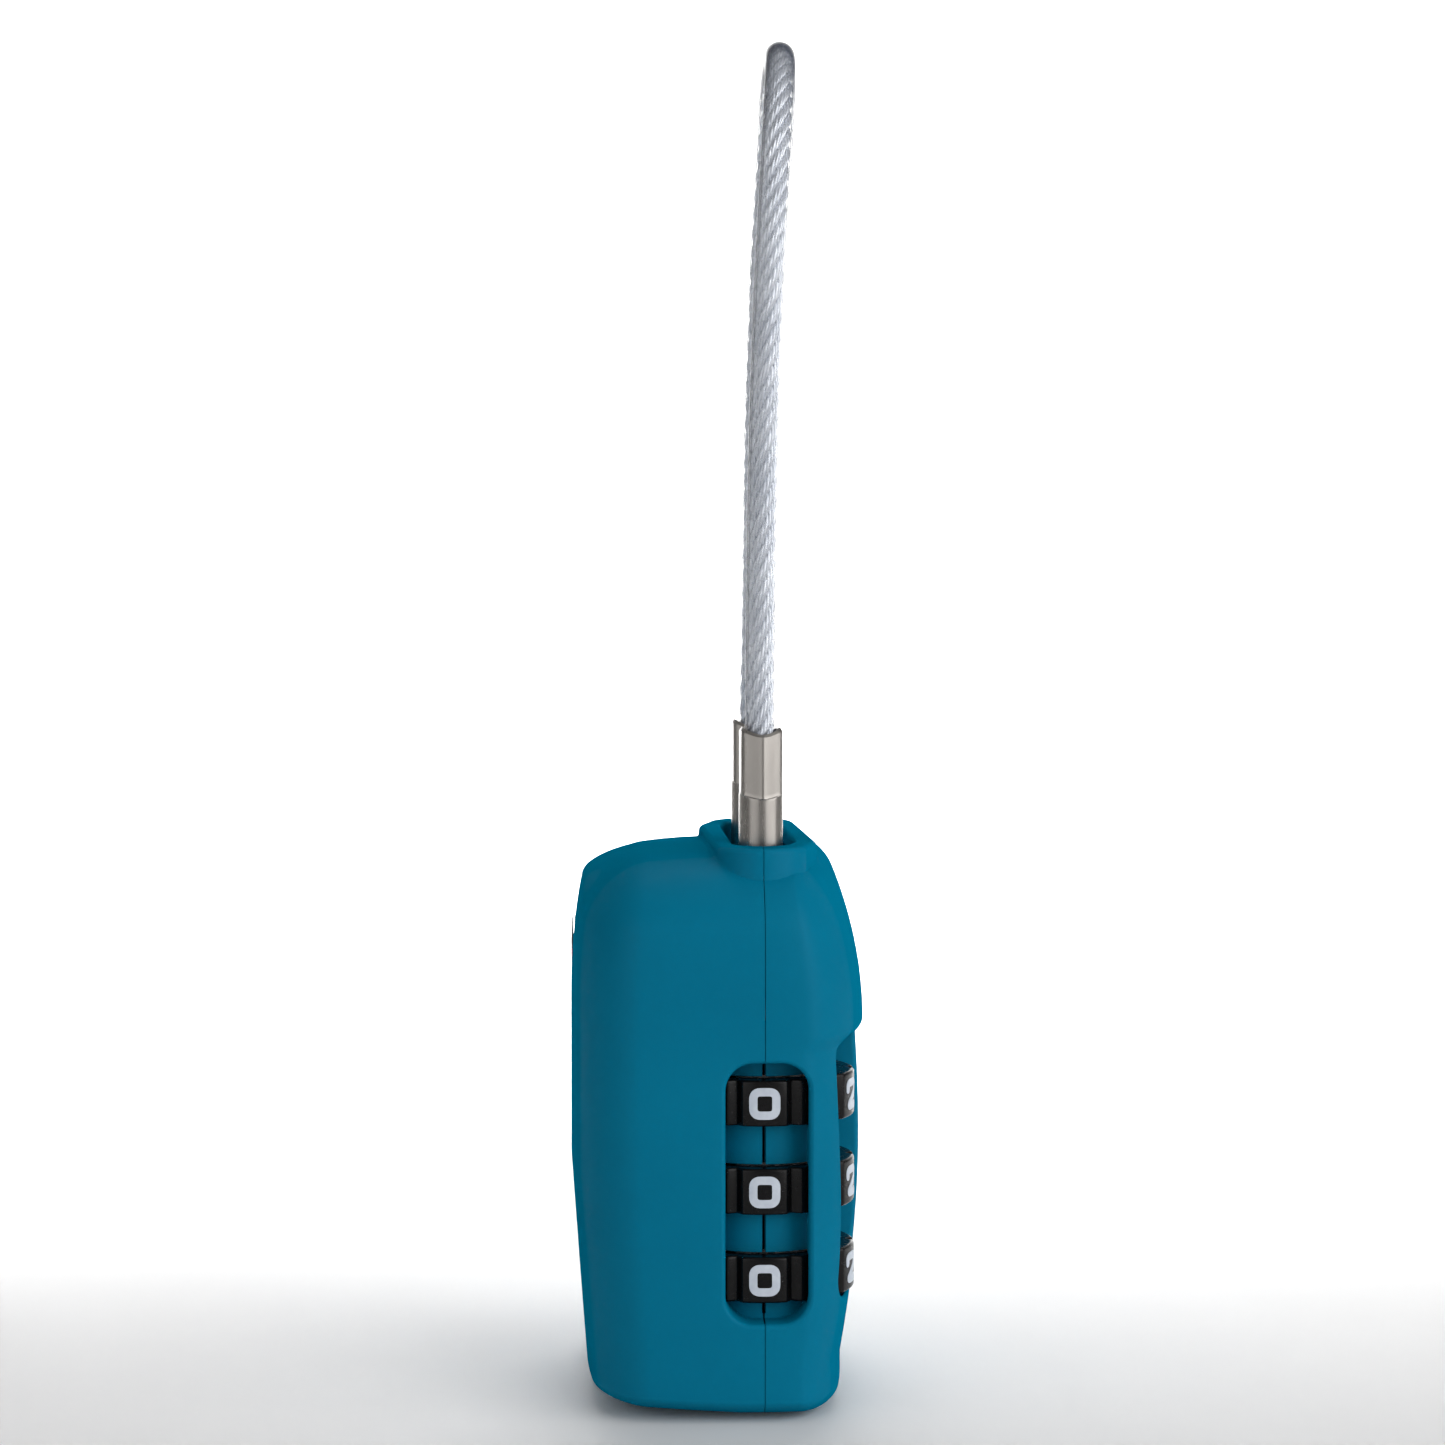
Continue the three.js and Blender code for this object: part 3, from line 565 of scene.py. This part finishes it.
def flared(tree, outline, place, along, rim, floor, lead=1.5, count=9):
    """A cutter that widens to the case's surface in a round rim.

    place(u, v) gives a point far outside for each of the outline's points, along points inwards, and
    floor is how far along that direction the cutter ends.
    """
    along = np.array(along, float)
    starts = np.array([place(*uv) for uv in outline], float)
    wide = np.array([place(*uv) for uv in grown(outline, rim)], float)
    depths = np.array([reach(tree, start, along) @ along for start in wide])
    rings = []
    for inside in [-lead, *(rim * (1 - np.cos(np.linspace(0, math.pi / 2, count))))]:
        grow = rim - math.sqrt(max(0.0, rim**2 - (rim - max(inside, 0)) ** 2))
        ring = np.array([place(*uv) for uv in grown(outline, grow)], float)
        rings.append(ring + np.outer(depths + inside - ring @ along, along))
    rings.append(starts + np.outer(floor - starts @ along, along))
    return stacked(rings)


# ---- shells ---------------------------------------------------------------------------------

def collar_outline():
    """The collar's outline seen from above: wide beside the ferrules, narrower at its ends."""
    end_r, end_y, trim = 3.3, 9.2, 0.1
    shoulder = (4.05, -6.6)
    turns = np.linspace(math.pi + trim, 2 * math.pi - trim, 25)
    arc = np.stack([end_r * np.cos(turns), -end_y + end_r * np.sin(turns)], axis=1)
    half = np.concatenate([arc, [shoulder]])
    return eased_outline(densified(np.concatenate([half, -half]), 0.3), 3)


def eased_outline(outline, passes):
    """An outline with its corners softened."""
    for _ in range(passes):
        outline = (np.roll(outline, 1, axis=0) + 2 * outline + np.roll(outline, -1, axis=0)) / 4
    return outline


def pit_outline():
    """The outline of the hollow in the collar, seen from above."""
    end_r, end_y = 1.95, 8.3
    shoulder = (-2.4, 7.0)
    turns = np.linspace(0, math.pi, 25)
    arc = np.stack([end_r * np.cos(turns), end_y + end_r * np.sin(turns)], axis=1)
    half = np.concatenate([arc, [shoulder]])
    return eased_outline(densified(np.concatenate([half, -half]), 0.4), 3)


def at_height(outline, z):
    return np.column_stack([outline, np.broadcast_to(z, len(outline))])


def collar(tree):
    """The raised collar: it flares out where it meets the case, and its rim is round."""
    rim, foot, root, sunk = 0.42, 0.4, 1.2, 0.06
    outline = collar_outline()
    heights = np.array([reach(tree, (x, y, 60), (0, 0, -1))[2] for x, y in grown(outline, foot)])
    rings = [at_height(grown(outline, foot), heights - root)]
    for turn in np.linspace(0, math.pi / 2, 8):
        flare = grown(outline, foot * (1 - math.sin(turn)))
        rings.append(at_height(flare, heights + foot * (1 - math.cos(turn)) - sunk))
    top = COLLAR_TOP + COLLAR_TILT * outline[:, 1]
    for turn in np.linspace(0, math.pi / 2, 10):
        rise = np.maximum(top - rim * (1 - math.sin(turn)), rings[-1][:, 2])
        rings.append(at_height(grown(outline, -rim * (1 - math.cos(turn))), rise))
    return stacked(rings)


def pit():
    """The hollow in the collar round both ferrules, with an eased edge."""
    rim, floor, play = 0.3, 36.9, 0.03
    outline = grown(pit_outline(), play)
    top = COLLAR_TOP + COLLAR_TILT * outline[:, 1]
    rings = [at_height(outline, floor)]
    for turn in np.linspace(0, math.pi / 2, 8):
        rings.append(at_height(grown(outline, rim * (1 - math.cos(turn))), top - rim * (1 - math.sin(turn))))
    rings.append(at_height(grown(outline, rim), top + 2))
    return stacked(rings)


def cylinder(axis, low, high, first, second, radius, sides=96):
    """Points and faces of a plain round cutter along x, y or z."""
    angles = np.linspace(0, 2 * math.pi, sides, endpoint=False)
    u, v = first + radius * np.cos(angles), second + radius * np.sin(angles)
    rings = []
    for end in (low, high):
        along = np.full(sides, end)
        columns = {"x": (along, u, v), "y": (u, along, v), "z": (u, v, along)}[axis]
        rings.append(np.stack(columns, axis=1))
    return stacked(rings)


def slab(low, high):
    (x0, y0, z0), (x1, y1, z1) = low, high
    ring = np.array([[x0, y0], [x1, y0], [x1, y1], [x0, y1]])
    return stacked([np.column_stack([ring, np.full(4, z)]) for z in (z0, z1)])


def tool(shape):
    return make("tool", *shape, TEAL)


def windows(tree):
    """The two window cutters, stopped at the round floor between the dials."""
    play, overlap = 0.03, 0.1
    side = flared(
        tree,
        grown(rounded_rectangle(*SIDE_WINDOW), play),
        lambda u, v: (u, -40.0, v),
        (0, 1, 0),
        0.32,
        DIAL_Y,
    )
    front = flared(
        tree,
        grown(rounded_rectangle(*FRONT_WINDOW), play),
        lambda u, v: (40.0, u, v),
        (-1, 0, 0),
        0.4,
        overlap - SIDE_WINDOW[1],
    )
    cut = tool(side)
    second = tool(front)
    boolean(cut, second, "UNION")
    core = tool(cylinder("z", -2, 45, 0, DIAL_Y, FLOOR_R, 192))
    boolean(cut, core, "DIFFERENCE")
    half, margin, proud, deep = WIDE_SEAM / 2, 0.3, 0.5, 0.7
    _, _, low, high, _ = SIDE_WINDOW
    floor = DIAL_Y - FLOOR_R
    groove = tool(slab((-half, floor - proud, low + margin), (half, floor + deep, high - margin)))
    boolean(cut, groove, "UNION")
    drop(second, core, groove)
    return cut


def inner_hollows(shell_name):
    """The room inside one shell of the CAD, well under the outer surface."""
    room = tool(case_block(0.35, 1.2))
    node = copy_of(frame["nodes"][shell_name], "node_copy")
    work = bmesh.new()
    work.from_mesh(node.data)
    bmesh.ops.remove_doubles(work, verts=work.verts, dist=1e-7)
    work.to_mesh(node.data)
    work.free()
    boolean(room, node, "DIFFERENCE")
    drop(node)
    return room


BEHIND = -20
BELOW = -2
SEAT_PLAY = 0.22
BADGE_SEAT_X = -12.75
BARREL_ROOM_TOP = 16.6
BARREL_ROOM_R = 4.08
PLUNGER_HOLE_TOP = 1.6
PLUNGER_HOLE_R = 1.37


def make_shells():
    outer = case_block()
    tree = tree_of(*outer)
    whole = tool(outer)
    cutters = [
        windows(tree),
        tool(pit()),
        tool(cylinder("x", BEHIND, BADGE_SEAT_X, 0, BADGE_Z, BADGE_R + SEAT_PLAY)),
        tool(cylinder("z", BELOW, BARREL_ROOM_TOP, 0, KEY_Y, BARREL_ROOM_R)),
        tool(cylinder("z", BELOW, PLUNGER_HOLE_TOP, 0, DIAL_Y, PLUNGER_HOLE_R, 64)),
    ]
    ring = tool(collar(tree))
    boolean(whole, ring, "UNION")
    for cutter in cutters:
        boolean(whole, cutter, "DIFFERENCE")
    drop(ring, *cutters)
    halves = {
        "rear_shell": slab((-30, -30, -5), (-SEAM / 2, 30, 60)),
        "front_shell": slab((SEAM / 2, -30, -5), (30, 30, 60)),
    }
    for name, half in halves.items():
        shell = copy_of(whole, name + "_moulding")
        side = tool(half)
        room = inner_hollows(name)
        boolean(room, side, "INTERSECT")
        boolean(shell, side, "INTERSECT")
        boolean(shell, room, "DIFFERENCE")
        drop(side, room)
        shell.data.materials.clear()
        shell.data.materials.append(TEAL)
        shade(shell, 32)
        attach(shell, "case")
        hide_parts(name)
    drop(whole)


# ---- dials ----------------------------------------------------------------------------------

DIGITS = 10
PITCH = 2 * math.pi / DIGITS
GROOVE_HALF = math.radians(5)
GROOVE_DEPTH = 0.45
# Across a groove, as (share of its half width, share of its depth).
GROOVE_PROFILE = (
    (0.08, 0.03), (0.5, 0.52), (0.9, 0.97), (1.0, 1.0),
    (1.1, 0.97), (1.5, 0.52), (1.92, 0.03),
)
STROKE = 0.285
GLYPH_W, GLYPH_H = 0.79, 0.81
EASE = 0.5

GLYPHS = {
    0: [[(-1, -1), (1, -1), (1, 1), (-1, 1), (-1, -1)]],
    1: [[(-0.55, 0.55), (0.1, 1), (0.1, -1)]],
    2: [[(-1, 0.45), (-1, 1), (1, 1), (1, 0.2), (-1, -1), (1, -1)]],
    3: [[(-1, 1), (1, 1), (1, -1), (-1, -1)], [(-0.35, 0), (1, 0)]],
    4: [[(0.45, -1), (0.45, 1), (-1, -0.35), (1, -0.35)]],
    5: [[(1, 1), (-1, 1), (-1, 0.1), (1, 0.1), (1, -1), (-1, -1)]],
    6: [[(0.9, 1), (-1, 1), (-1, -1), (1, -1), (1, 0), (-1, 0)]],
    7: [[(-1, 1), (1, 1), (-0.1, -1)]],
    8: [[(-1, -1), (1, -1), (1, 1), (-1, 1), (-1, -1)], [(-1, 0), (1, 0)]],
    9: [[(-0.9, -1), (1, -1), (1, 1), (-1, 1), (-1, 0), (1, 0)]],
}


def eased(stroke):
    """A stroke with its corners rounded off, in millimetres; it closes if it ends where it starts."""
    points = np.array(stroke, float) * [GLYPH_W, GLYPH_H]
    closed = stroke[0] == stroke[-1]
    if closed:
        points = np.concatenate([points[-2:-1], points, points[1:2]])
    found = [] if closed else [points[0]]
    for before, corner, after in zip(points, points[1:], points[2:]):
        a = corner + (before - corner) * min(0.5, EASE / np.linalg.norm(before - corner))
        b = corner + (after - corner) * min(0.5, EASE / np.linalg.norm(after - corner))
        found += [a * (1 - t) ** 2 + 2 * corner * t * (1 - t) + b * t**2 for t in np.linspace(0, 1, 7)]
    if not closed:
        found.append(points[-1])
    return np.array(found)


def glyph_distance(digit, points):
    """How far each point is from the digit's strokes."""
    best = np.full(len(points), 9.0)
    for stroke in GLYPHS[digit]:
        line = eased(stroke)
        for a, b in zip(line, line[1:]):
            d = b - a
            t = np.clip(((points - a) @ d) / max(d @ d, 1e-12), 0, 1)
            best = np.minimum(best, np.linalg.norm(points - a - t[:, None] * d, axis=1))
    return best


def glyph_patch(digit, pitch=0.055):
    """A flat triangle mesh of one digit: (u, v) points and triangles, cut clean along its edge."""
    half_u, half_v, ending = 1.35, 1.3, 0.0001
    us = np.arange(-half_u, half_u + ending, pitch)
    vs = np.arange(-half_v, half_v + ending, pitch)
    grid_u, grid_v = np.meshgrid(us, vs, indexing="ij")
    field = glyph_distance(digit, np.stack([grid_u.ravel(), grid_v.ravel()], axis=1)) - STROKE
    field = field.reshape(grid_u.shape)
    points, index, triangles = [], {}, []

    def vertex(key, uv):
        if key not in index:
            index[key] = len(points)
            points.append(uv)
        return index[key]

    def corner(i, j):
        return vertex(("c", i, j), (us[i], vs[j]))

    def crossing(a, b):
        (i, j), (k, l) = sorted((a, b))
        t = field[i, j] / (field[i, j] - field[k, l])
        return vertex(("e", i, j, k, l), (us[i] + t * (us[k] - us[i]), vs[j] + t * (vs[l] - vs[j])))

    for i in range(len(us) - 1):
        for j in range(len(vs) - 1):
            for corners in (((i, j), (i + 1, j), (i + 1, j + 1)), ((i, j), (i + 1, j + 1), (i, j + 1))):
                inside = [field[c] < 0 for c in corners]
                if not any(inside):
                    continue
                ring = []
                for a, b in zip(range(3), (1, 2, 0)):
                    if inside[a]:
                        ring.append(corner(*corners[a]))
                    if inside[a] != inside[b]:
                        ring.append(crossing(corners[a], corners[b]))
                if len(ring) >= 3:
                    triangles.append(tuple(ring))
    return np.array(points), triangles


def wrapped_digit(digit, z, top=0.035, sunk=0.12):
    """One digit as a thin closed solid round the dial's rim."""
    uv, patch = glyph_patch(digit)
    angle = digit * PITCH + uv[:, 0] / DIAL_R
    layers = []
    for radius in (DIAL_R - sunk, DIAL_R + top):
        layers.append(
            np.stack([radius * np.sin(angle), DIAL_Y - radius * np.cos(angle), z + uv[:, 1]], axis=1)
        )
    count = len(uv)
    faces = [tuple(reversed(f)) for f in patch]
    faces += [tuple(i + count for i in f) for f in patch]
    edges = {}
    for face in patch:
        for a, b in zip(face, face[1:] + face[:1]):
            edges[(a, b)] = edges.get((a, b), 0) + 1
    for a, b in edges:
        if (b, a) not in edges:
            faces.append((a, b, b + count, a + count))
    return np.concatenate(layers), faces


def dial_outline(shrink=0.0):
    """The rim seen from above: ten lands, with an eased V groove between them."""
    found = []
    for digit in range(DIGITS):
        middle = digit * PITCH
        land = PITCH / 2 - GROOVE_HALF
        for turn in np.linspace(-land, land, 15):
            found.append((DIAL_R - shrink, middle + turn))
        for share, deep in GROOVE_PROFILE:
            turn = land + GROOVE_HALF * share
            found.append((DIAL_R - shrink - GROOVE_DEPTH * deep, middle + turn))
    radius, angle = np.array(found).T
    return np.stack([radius * np.sin(angle), -radius * np.cos(angle)], axis=1)


def dial_shape(z):
    """A dial's solid: round rims above and below, and a shallow dish round its hub."""
    rim, dish = 0.22, 0.25
    bore_r, dish_foot_r, dish_edge_r, flat_edge_r = 4.9, 5.15, 5.35, 5.8
    rings = []

    def add(outline, height):
        heights = np.full(len(outline), z + height)
        rings.append(np.column_stack([outline[:, 0], DIAL_Y + outline[:, 1], heights]))

    outline = dial_outline()
    angle = np.arctan2(outline[:, 1], outline[:, 0])

    def circle(radius):
        return np.stack([radius * np.cos(angle), radius * np.sin(angle)], axis=1)

    for sign in (-1, 1):
        steps = [
            (circle(bore_r), DIAL_HALF - dish),
            (circle(dish_foot_r), DIAL_HALF - dish),
            (circle(dish_edge_r), DIAL_HALF),
            (circle(flat_edge_r), DIAL_HALF),
        ]
        for turn in np.linspace(math.pi / 2, 0, 6):
            shape = dial_outline(rim * (1 - math.cos(turn)))
            steps.append((shape, DIAL_HALF - rim * (1 - math.sin(turn))))
        if sign > 0:
            steps.reverse()
        for shape, height in steps:
            add(shape, sign * height)
    points, faces = stacked(rings, closed_ends=False)
    around, count = len(outline), len(rings)
    for i in range(around):
        j = (i + 1) % around
        faces.append(((count - 1) * around + i, (count - 1) * around + j, j, i))
    return points, faces


def make_dials():
    for i, z in enumerate(DIAL_Z):
        body = f"dial_{i + 1}"
        wheel = make(body + "_wheel", *dial_shape(z), BLACK, 28)
        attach(wheel, body)
        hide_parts(body)
        points, faces, start = [], [], 0
        for digit in range(DIGITS):
            p, f = wrapped_digit(digit, z)
            points.append(p)
            faces += [tuple(v + start for v in face) for face in f]
            start += len(p)
        numbers = make(body + "_numbers", np.concatenate(points), faces, PAINT, 40)
        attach(numbers, body)


# ---- ferrules -------------------------------------------------------------------------------

HEX_TURN = 0.07
HEX_CRISPNESS = 28
ROUND = 9.0  # a hexagon this wide leaves a section round
CORNER_R = FERRULE_R + 0.08
AXIS_R = 0.02
LOW_CHAMFER = 0.35
TOP_CHAMFER = 0.2
STEP_RISE = 0.13
STEP_FLARE = 0.14
ROUND_END = 0.25
RIM_CORNER_IN, RIM_FLAT_IN = 0.25, 0.12
MOUTH_HIGH, MOUTH_LOW, MOUTH_EASE = 0.02, 0.1, 0.06
# The latch's groove in the free ferrule, as (height, radius) going up.
LATCH_GROOVE = (
    (25.3, FERRULE_R), (25.38, FERRULE_R - 0.05), (25.4, 0.95),
    (26.9, 0.95), (26.92, 1.5), (27, FERRULE_R),
)


def ferrule_ring(y, z, limit, flat, dip=0.0, sides=144):
    """One section of a ferrule: a hexagon whose corners are held to a round limit.

    It dips by that much at the two corners where the jaws of the press met.
    """
    angle = np.linspace(0, 2 * math.pi, sides, endpoint=False)
    across = np.mod(angle - HEX_TURN, math.pi / 3) - math.pi / 6
    hexagon = flat / np.cos(across)
    either = np.exp(-hexagon * HEX_CRISPNESS) + np.exp(-limit * HEX_CRISPNESS)
    radius = np.minimum(-np.log(either) / HEX_CRISPNESS, limit)
    height = z - dip * np.cos(angle - HEX_TURN) ** 2
    return np.stack([radius * np.sin(angle), y - radius * np.cos(angle), height], axis=1)


def pressed_sections():
    """The hexagon from its step to its rim, as ferrule_ring's height, limit, flat and dip."""
    sections = [(HEX_STEP - ROUND_END, FERRULE_R, ROUND, STEP_DIP)]
    for t in np.linspace(0, 1, 10):
        limit = FERRULE_R + (CORNER_R - FERRULE_R) * float(smoothstep(0.1, 0.8, t))
        flat = HEX_FLAT + STEP_FLARE * (1 - t) ** 1.5
        sections.append((HEX_STEP - STEP_RISE + STEP_RISE * t, limit, flat, STEP_DIP))
    top = FERRULE_TOP - TOP_CHAMFER
    for t in np.linspace(0.06, 1, 8):
        dip = STEP_DIP + (RIM_DIP - STEP_DIP) * t
        sections.append((HEX_STEP + (top - HEX_STEP) * t, CORNER_R, HEX_FLAT, dip))
    for t in np.linspace(0.2, 1, 5):
        limit, flat = CORNER_R - RIM_CORNER_IN * t, HEX_FLAT - RIM_FLAT_IN * t
        sections.append((top + TOP_CHAMFER * t, limit, flat, RIM_DIP))
    return sections


def make_ferrule(name, node, body, y, low, groove):
    """A ferrule, built up its outside from the low end and back down its bore."""
    below = [(low, AXIS_R), (low, FERRULE_R - LOW_CHAMFER), (low + LOW_CHAMFER, FERRULE_R)]
    if groove:
        below += LATCH_GROOVE
    sections = [(z, limit, ROUND, 0.0) for z, limit in below]
    sections += pressed_sections()
    sections += [
        (FERRULE_TOP - MOUTH_HIGH, BORE_R + MOUTH_EASE, ROUND, RIM_DIP),
        (FERRULE_TOP - MOUTH_LOW, BORE_R, ROUND, RIM_DIP),
        (BORE_LOW, BORE_R, ROUND, 0.0),
        (BORE_LOW, AXIS_R, ROUND, 0.0),
    ]
    rings = [ferrule_ring(y, *section) for section in sections]
    piece = make(name, *stacked(rings), NICKEL, 30)
    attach(piece, body)
    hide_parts(node)


# ---- cable ----------------------------------------------------------------------------------

def catmull(points, share=48):
    """The same centripetal curve as the CAD's route, as closely spaced points."""
    p = np.array(points, float)
    p = np.concatenate([[2 * p[0] - p[1]], p, [2 * p[-1] - p[-2]]])
    found = []
    for a, b, c, d in zip(p, p[1:], p[2:], p[3:]):
        steps = [max(np.linalg.norm(v - u), 1e-9) ** 0.5 for u, v in ((a, b), (b, c), (c, d))]
        m1 = (b - a) / steps[0] - (c - a) / (steps[0] + steps[1]) + (c - b) / steps[1]
        m2 = (c - b) / steps[1] - (d - b) / (steps[1] + steps[2]) + (d - c) / steps[2]
        m1, m2 = m1 * steps[1], m2 * steps[1]
        for t in np.linspace(0, 1, share, endpoint=False):
            h = (2 * t**3 - 3 * t**2 + 1, t**3 - 2 * t**2 + t, -2 * t**3 + 3 * t**2, t**3 - t**2)
            found.append(h[0] * b + h[1] * m1 + h[2] * c + h[3] * m2)
    found.append(p[-2])
    return np.array(found)


def evenly(line, step):
    along = np.concatenate([[0], np.cumsum(np.linalg.norm(np.diff(line, axis=0), axis=1))])
    at = np.linspace(0, along[-1], round(along[-1] / step) + 1)
    return np.stack([np.interp(at, along, line[:, k]) for k in range(3)], axis=1), at


def frames(line, first):
    """Two directions across a line at each of its points, carried along without twist."""
    tangent = np.gradient(line, axis=0)
    tangent /= np.linalg.norm(tangent, axis=1)[:, None]
    across = np.empty_like(line)
    now = np.array(first, float)
    for i, t in enumerate(tangent):
        now = now - t * (now @ t)
        now /= np.linalg.norm(now)
        across[i] = now
    return across, np.cross(tangent, across)


def tube(line, radius, sides, first=(1, 0, 0)):
    u, v = frames(line, first)
    angles = np.linspace(0, 2 * math.pi, sides, endpoint=False)
    rings = line[:, None] + radius * (
        np.cos(angles)[None, :, None] * u[:, None] + np.sin(angles)[None, :, None] * v[:, None]
    )
    return stacked(rings)


def joined(shapes):
    points, faces, start = [], [], 0
    for p, f in shapes:
        points.append(p)
        faces += [tuple(v + start for v in face) for face in f]
        start += len(p)
    return np.concatenate(points), faces


def helix(line, at, u, v, radius, lay, phase):
    """A line wound round another; a positive lay turns right-handed."""
    turn = 2 * math.pi * at / lay + phase
    return line + radius * (np.cos(turn)[:, None] * u + np.sin(turn)[:, None] * v)


STRAND_AT = 0.60
WIRE_AT = 0.205
WIRE_R = 0.112
WIRE_LAY = -4.3
CORE_AT, CORE_R, CORE_LAY = 0.17, 0.16, -5.0


def rope_strands(line, at):
    """Six strands of seven wires, laid right-handed round a core of three."""
    u, v = frames(line, (1, 0, 0))
    strands = []
    for s in range(6):
        middle = helix(line, at, u, v, STRAND_AT, STRAND_LAY, s * math.pi / 3)
        su, sv = frames(middle, (1, 0, 0))
        wires = [tube(middle, WIRE_R, 5)]
        for w in range(6):
            wire = helix(middle, at, su, sv, WIRE_AT, WIRE_LAY, w * math.pi / 3)
            wires.append(tube(wire, WIRE_R, 6))
        strands.append(joined(wires))
    core = [helix(line, at, u, v, CORE_AT, CORE_LAY, w * math.pi / 1.5) for w in range(3)]
    return strands, joined([tube(wire, CORE_R, 6) for wire in core])


def sleeve_shape(line, around=40):
    """An open-ended tube with a wall, along a line."""
    outer, outer_faces = tube(line, SLEEVE_R, around)
    inner, inner_faces = tube(line, SLEEVE_IN, around)
    shift = len(outer)
    last = (len(line) - 1) * around
    faces = outer_faces[:-2] + [tuple(v + shift for v in reversed(f)) for f in inner_faces[:-2]]
    for i in range(around):
        j = (i + 1) % around
        faces.append((i, i + shift, j + shift, j))
        faces.append((last + i, last + j, last + j + shift, last + i + shift))
    return np.concatenate([outer, inner]), faces


def make_cable():
    route = catmull(CABLE_ROUTE)
    strand_step, sleeve_step, blend_height = 0.32, 0.8, 60
    line, at = evenly(route, strand_step)
    sleeve_line, _ = evenly(route, sleeve_step)
    sleeve = make("cable_sleeve_clear", *sleeve_shape(sleeve_line), SLEEVE, 60)
    strands, core = rope_strands(line, at)
    pieces = [make(f"rope_strand_{i + 1}", *shape, ROPE, 80) for i, shape in enumerate(strands)]
    pieces.append(make("rope_core", *core, ROPE, 80))
    for piece in (sleeve, *pieces):
        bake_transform(piece)
    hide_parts("cable_sleeve")
    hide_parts("wire_rope")


# ---- badge and the carried-over nodes -------------------------------------------------------

DISC_BACK, DISC_FACE = -13.0, -13.2
DOME_BACK, DOME_EDGE, DOME_RISE = -13.3, -13.35, 0.16
NEAR_AXIS = 0.01


def disc_profile():
    return [(NEAR_AXIS, DISC_BACK), (BADGE_R, DISC_BACK), (BADGE_R, DISC_FACE), (NEAR_AXIS, DISC_FACE)]


def dome_profile():
    profile = [(NEAR_AXIS, DOME_BACK), (BADGE_R - 0.02, DOME_BACK)]
    for t in np.linspace(0, 1, 14):
        angle = t * math.pi / 2
        radius = BADGE_R * math.cos(angle) ** 0.8 if t < 1 else NEAR_AXIS
        profile.append((radius, DOME_EDGE - DOME_RISE * math.sin(angle)))
    return profile


def make_badge():
    for name, node, profile, material, slot in (
        ("badge_print_disc", "badge_disc", disc_profile(), BADGE, "badge"),
        ("badge_resin_dome", "badge_dome", dome_profile(), RESIN, "lens"),
    ):
        points, faces = turned(profile, 0, 0)
        points = np.column_stack([points[:, 2], points[:, 0], BADGE_Z + points[:, 1]])
        piece = make(name, points, faces, material, 40)
        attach(piece, "case")
        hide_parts(node)


FINISH = {"zinc": ZINC, "steel": STEEL, "brass": BRASS, "nickel": NICKEL}


def finish_nodes():
    """The inner CAD nodes stay as they are, with a material of their own."""
    for entry in frame["record"]["subparts"]:
        material = FINISH.get(entry["material_slot"])
        node = frame["nodes"][entry["node"]]
        if material and not node.hide_render:
            node.data.materials.clear()
            node.data.materials.append(material)


# ---- stage and light ------------------------------------------------------------------------

def make_stage():
    """A pale floor that bends up into a wall behind the lock, in metres."""
    m = Nodes("pale_floor")
    m.color(m.ramp(m.noise(30, 4), [(0.3, (0.80, 0.80, 0.80)), (0.7, (0.84, 0.84, 0.84))]))
    m.rough(m.between(m.noise(60, 3), 0.55, 0.65))
    size, rise, bend, flat, gap = 1.6, 1.2, 0.25, 0.45, 0.00005
    profile = [(-size, 0.0)]
    for t in np.linspace(0, math.pi / 2, 16):
        profile.append((flat + bend * math.sin(t), bend * (1 - math.cos(t))))
    profile.append((flat + bend, rise))
    points, faces = [], []
    for y, z in profile:
        points += [(-size, y, z), (size, y, z)]
    for i in range(len(profile) - 1):
        faces.append((2 * i, 2 * i + 1, 2 * i + 3, 2 * i + 2))
    mesh = bpy.data.meshes.new("backdrop")
    mesh.from_pydata([(x, y, z - gap) for x, y, z in points], [], faces)
    mesh.materials.append(m.material)
    for face in mesh.polygons:
        face.use_smooth = True
    floor = bpy.data.objects.new("backdrop", mesh)
    bpy.context.scene.collection.objects.link(floor)


def area_light(name, place, target, size, power, spread=180):
    data = bpy.data.lights.new(name, "AREA")
    data.spread = math.radians(spread)
    data.shape = "RECTANGLE"
    data.size, data.size_y = size
    data.energy = power
    light = bpy.data.objects.new(name, data)
    light.location = place
    light.rotation_euler = (Vector(target) - Vector(place)).to_track_quat("-Z", "Y").to_euler()
    bpy.context.scene.collection.objects.link(light)


def make_light():
    world = bpy.data.worlds.new("studio")
    world.use_nodes = True
    back = world.node_tree.nodes["Background"]
    back.inputs["Color"].default_value = (1, 1, 1, 1)
    back.inputs["Strength"].default_value = 0.22
    bpy.context.scene.world = world
    # Places and sizes are metres. The wall and floor lights are narrow enough to miss the lock.
    aim = (0, 0, 0.03)
    area_light("key", (0.42, -0.32, 0.20), aim, (0.62, 0.56), 2.7)
    area_light("fill", (-0.34, -0.46, 0.20), aim, (0.5, 0.45), 0.75)
    area_light("top", (0.10, -0.05, 0.55), aim, (0.4, 0.4), 0.22)
    area_light("wall", (0.0, 0.2, 0.45), (0, 0.6, 0.06), (0.25, 0.12), 3.2, spread=80)
    area_light("floor", (0.0, 0.25, 0.42), (0, 0.22, 0), (0.35, 0.12), 0.9, spread=60)
    bpy.context.scene.view_settings.view_transform = "Standard"


make_camera()
make_cable()
make_shells()
make_dials()
make_ferrule("fixed_ferrule_crimped", "fixed_ferrule", "case", -FERRULE_Y, low=28.8, groove=False)
make_ferrule("free_ferrule_crimped", "free_ferrule", "free_end", FERRULE_Y, low=24.9, groove=True)
make_badge()
finish_nodes()
make_stage()
make_light()
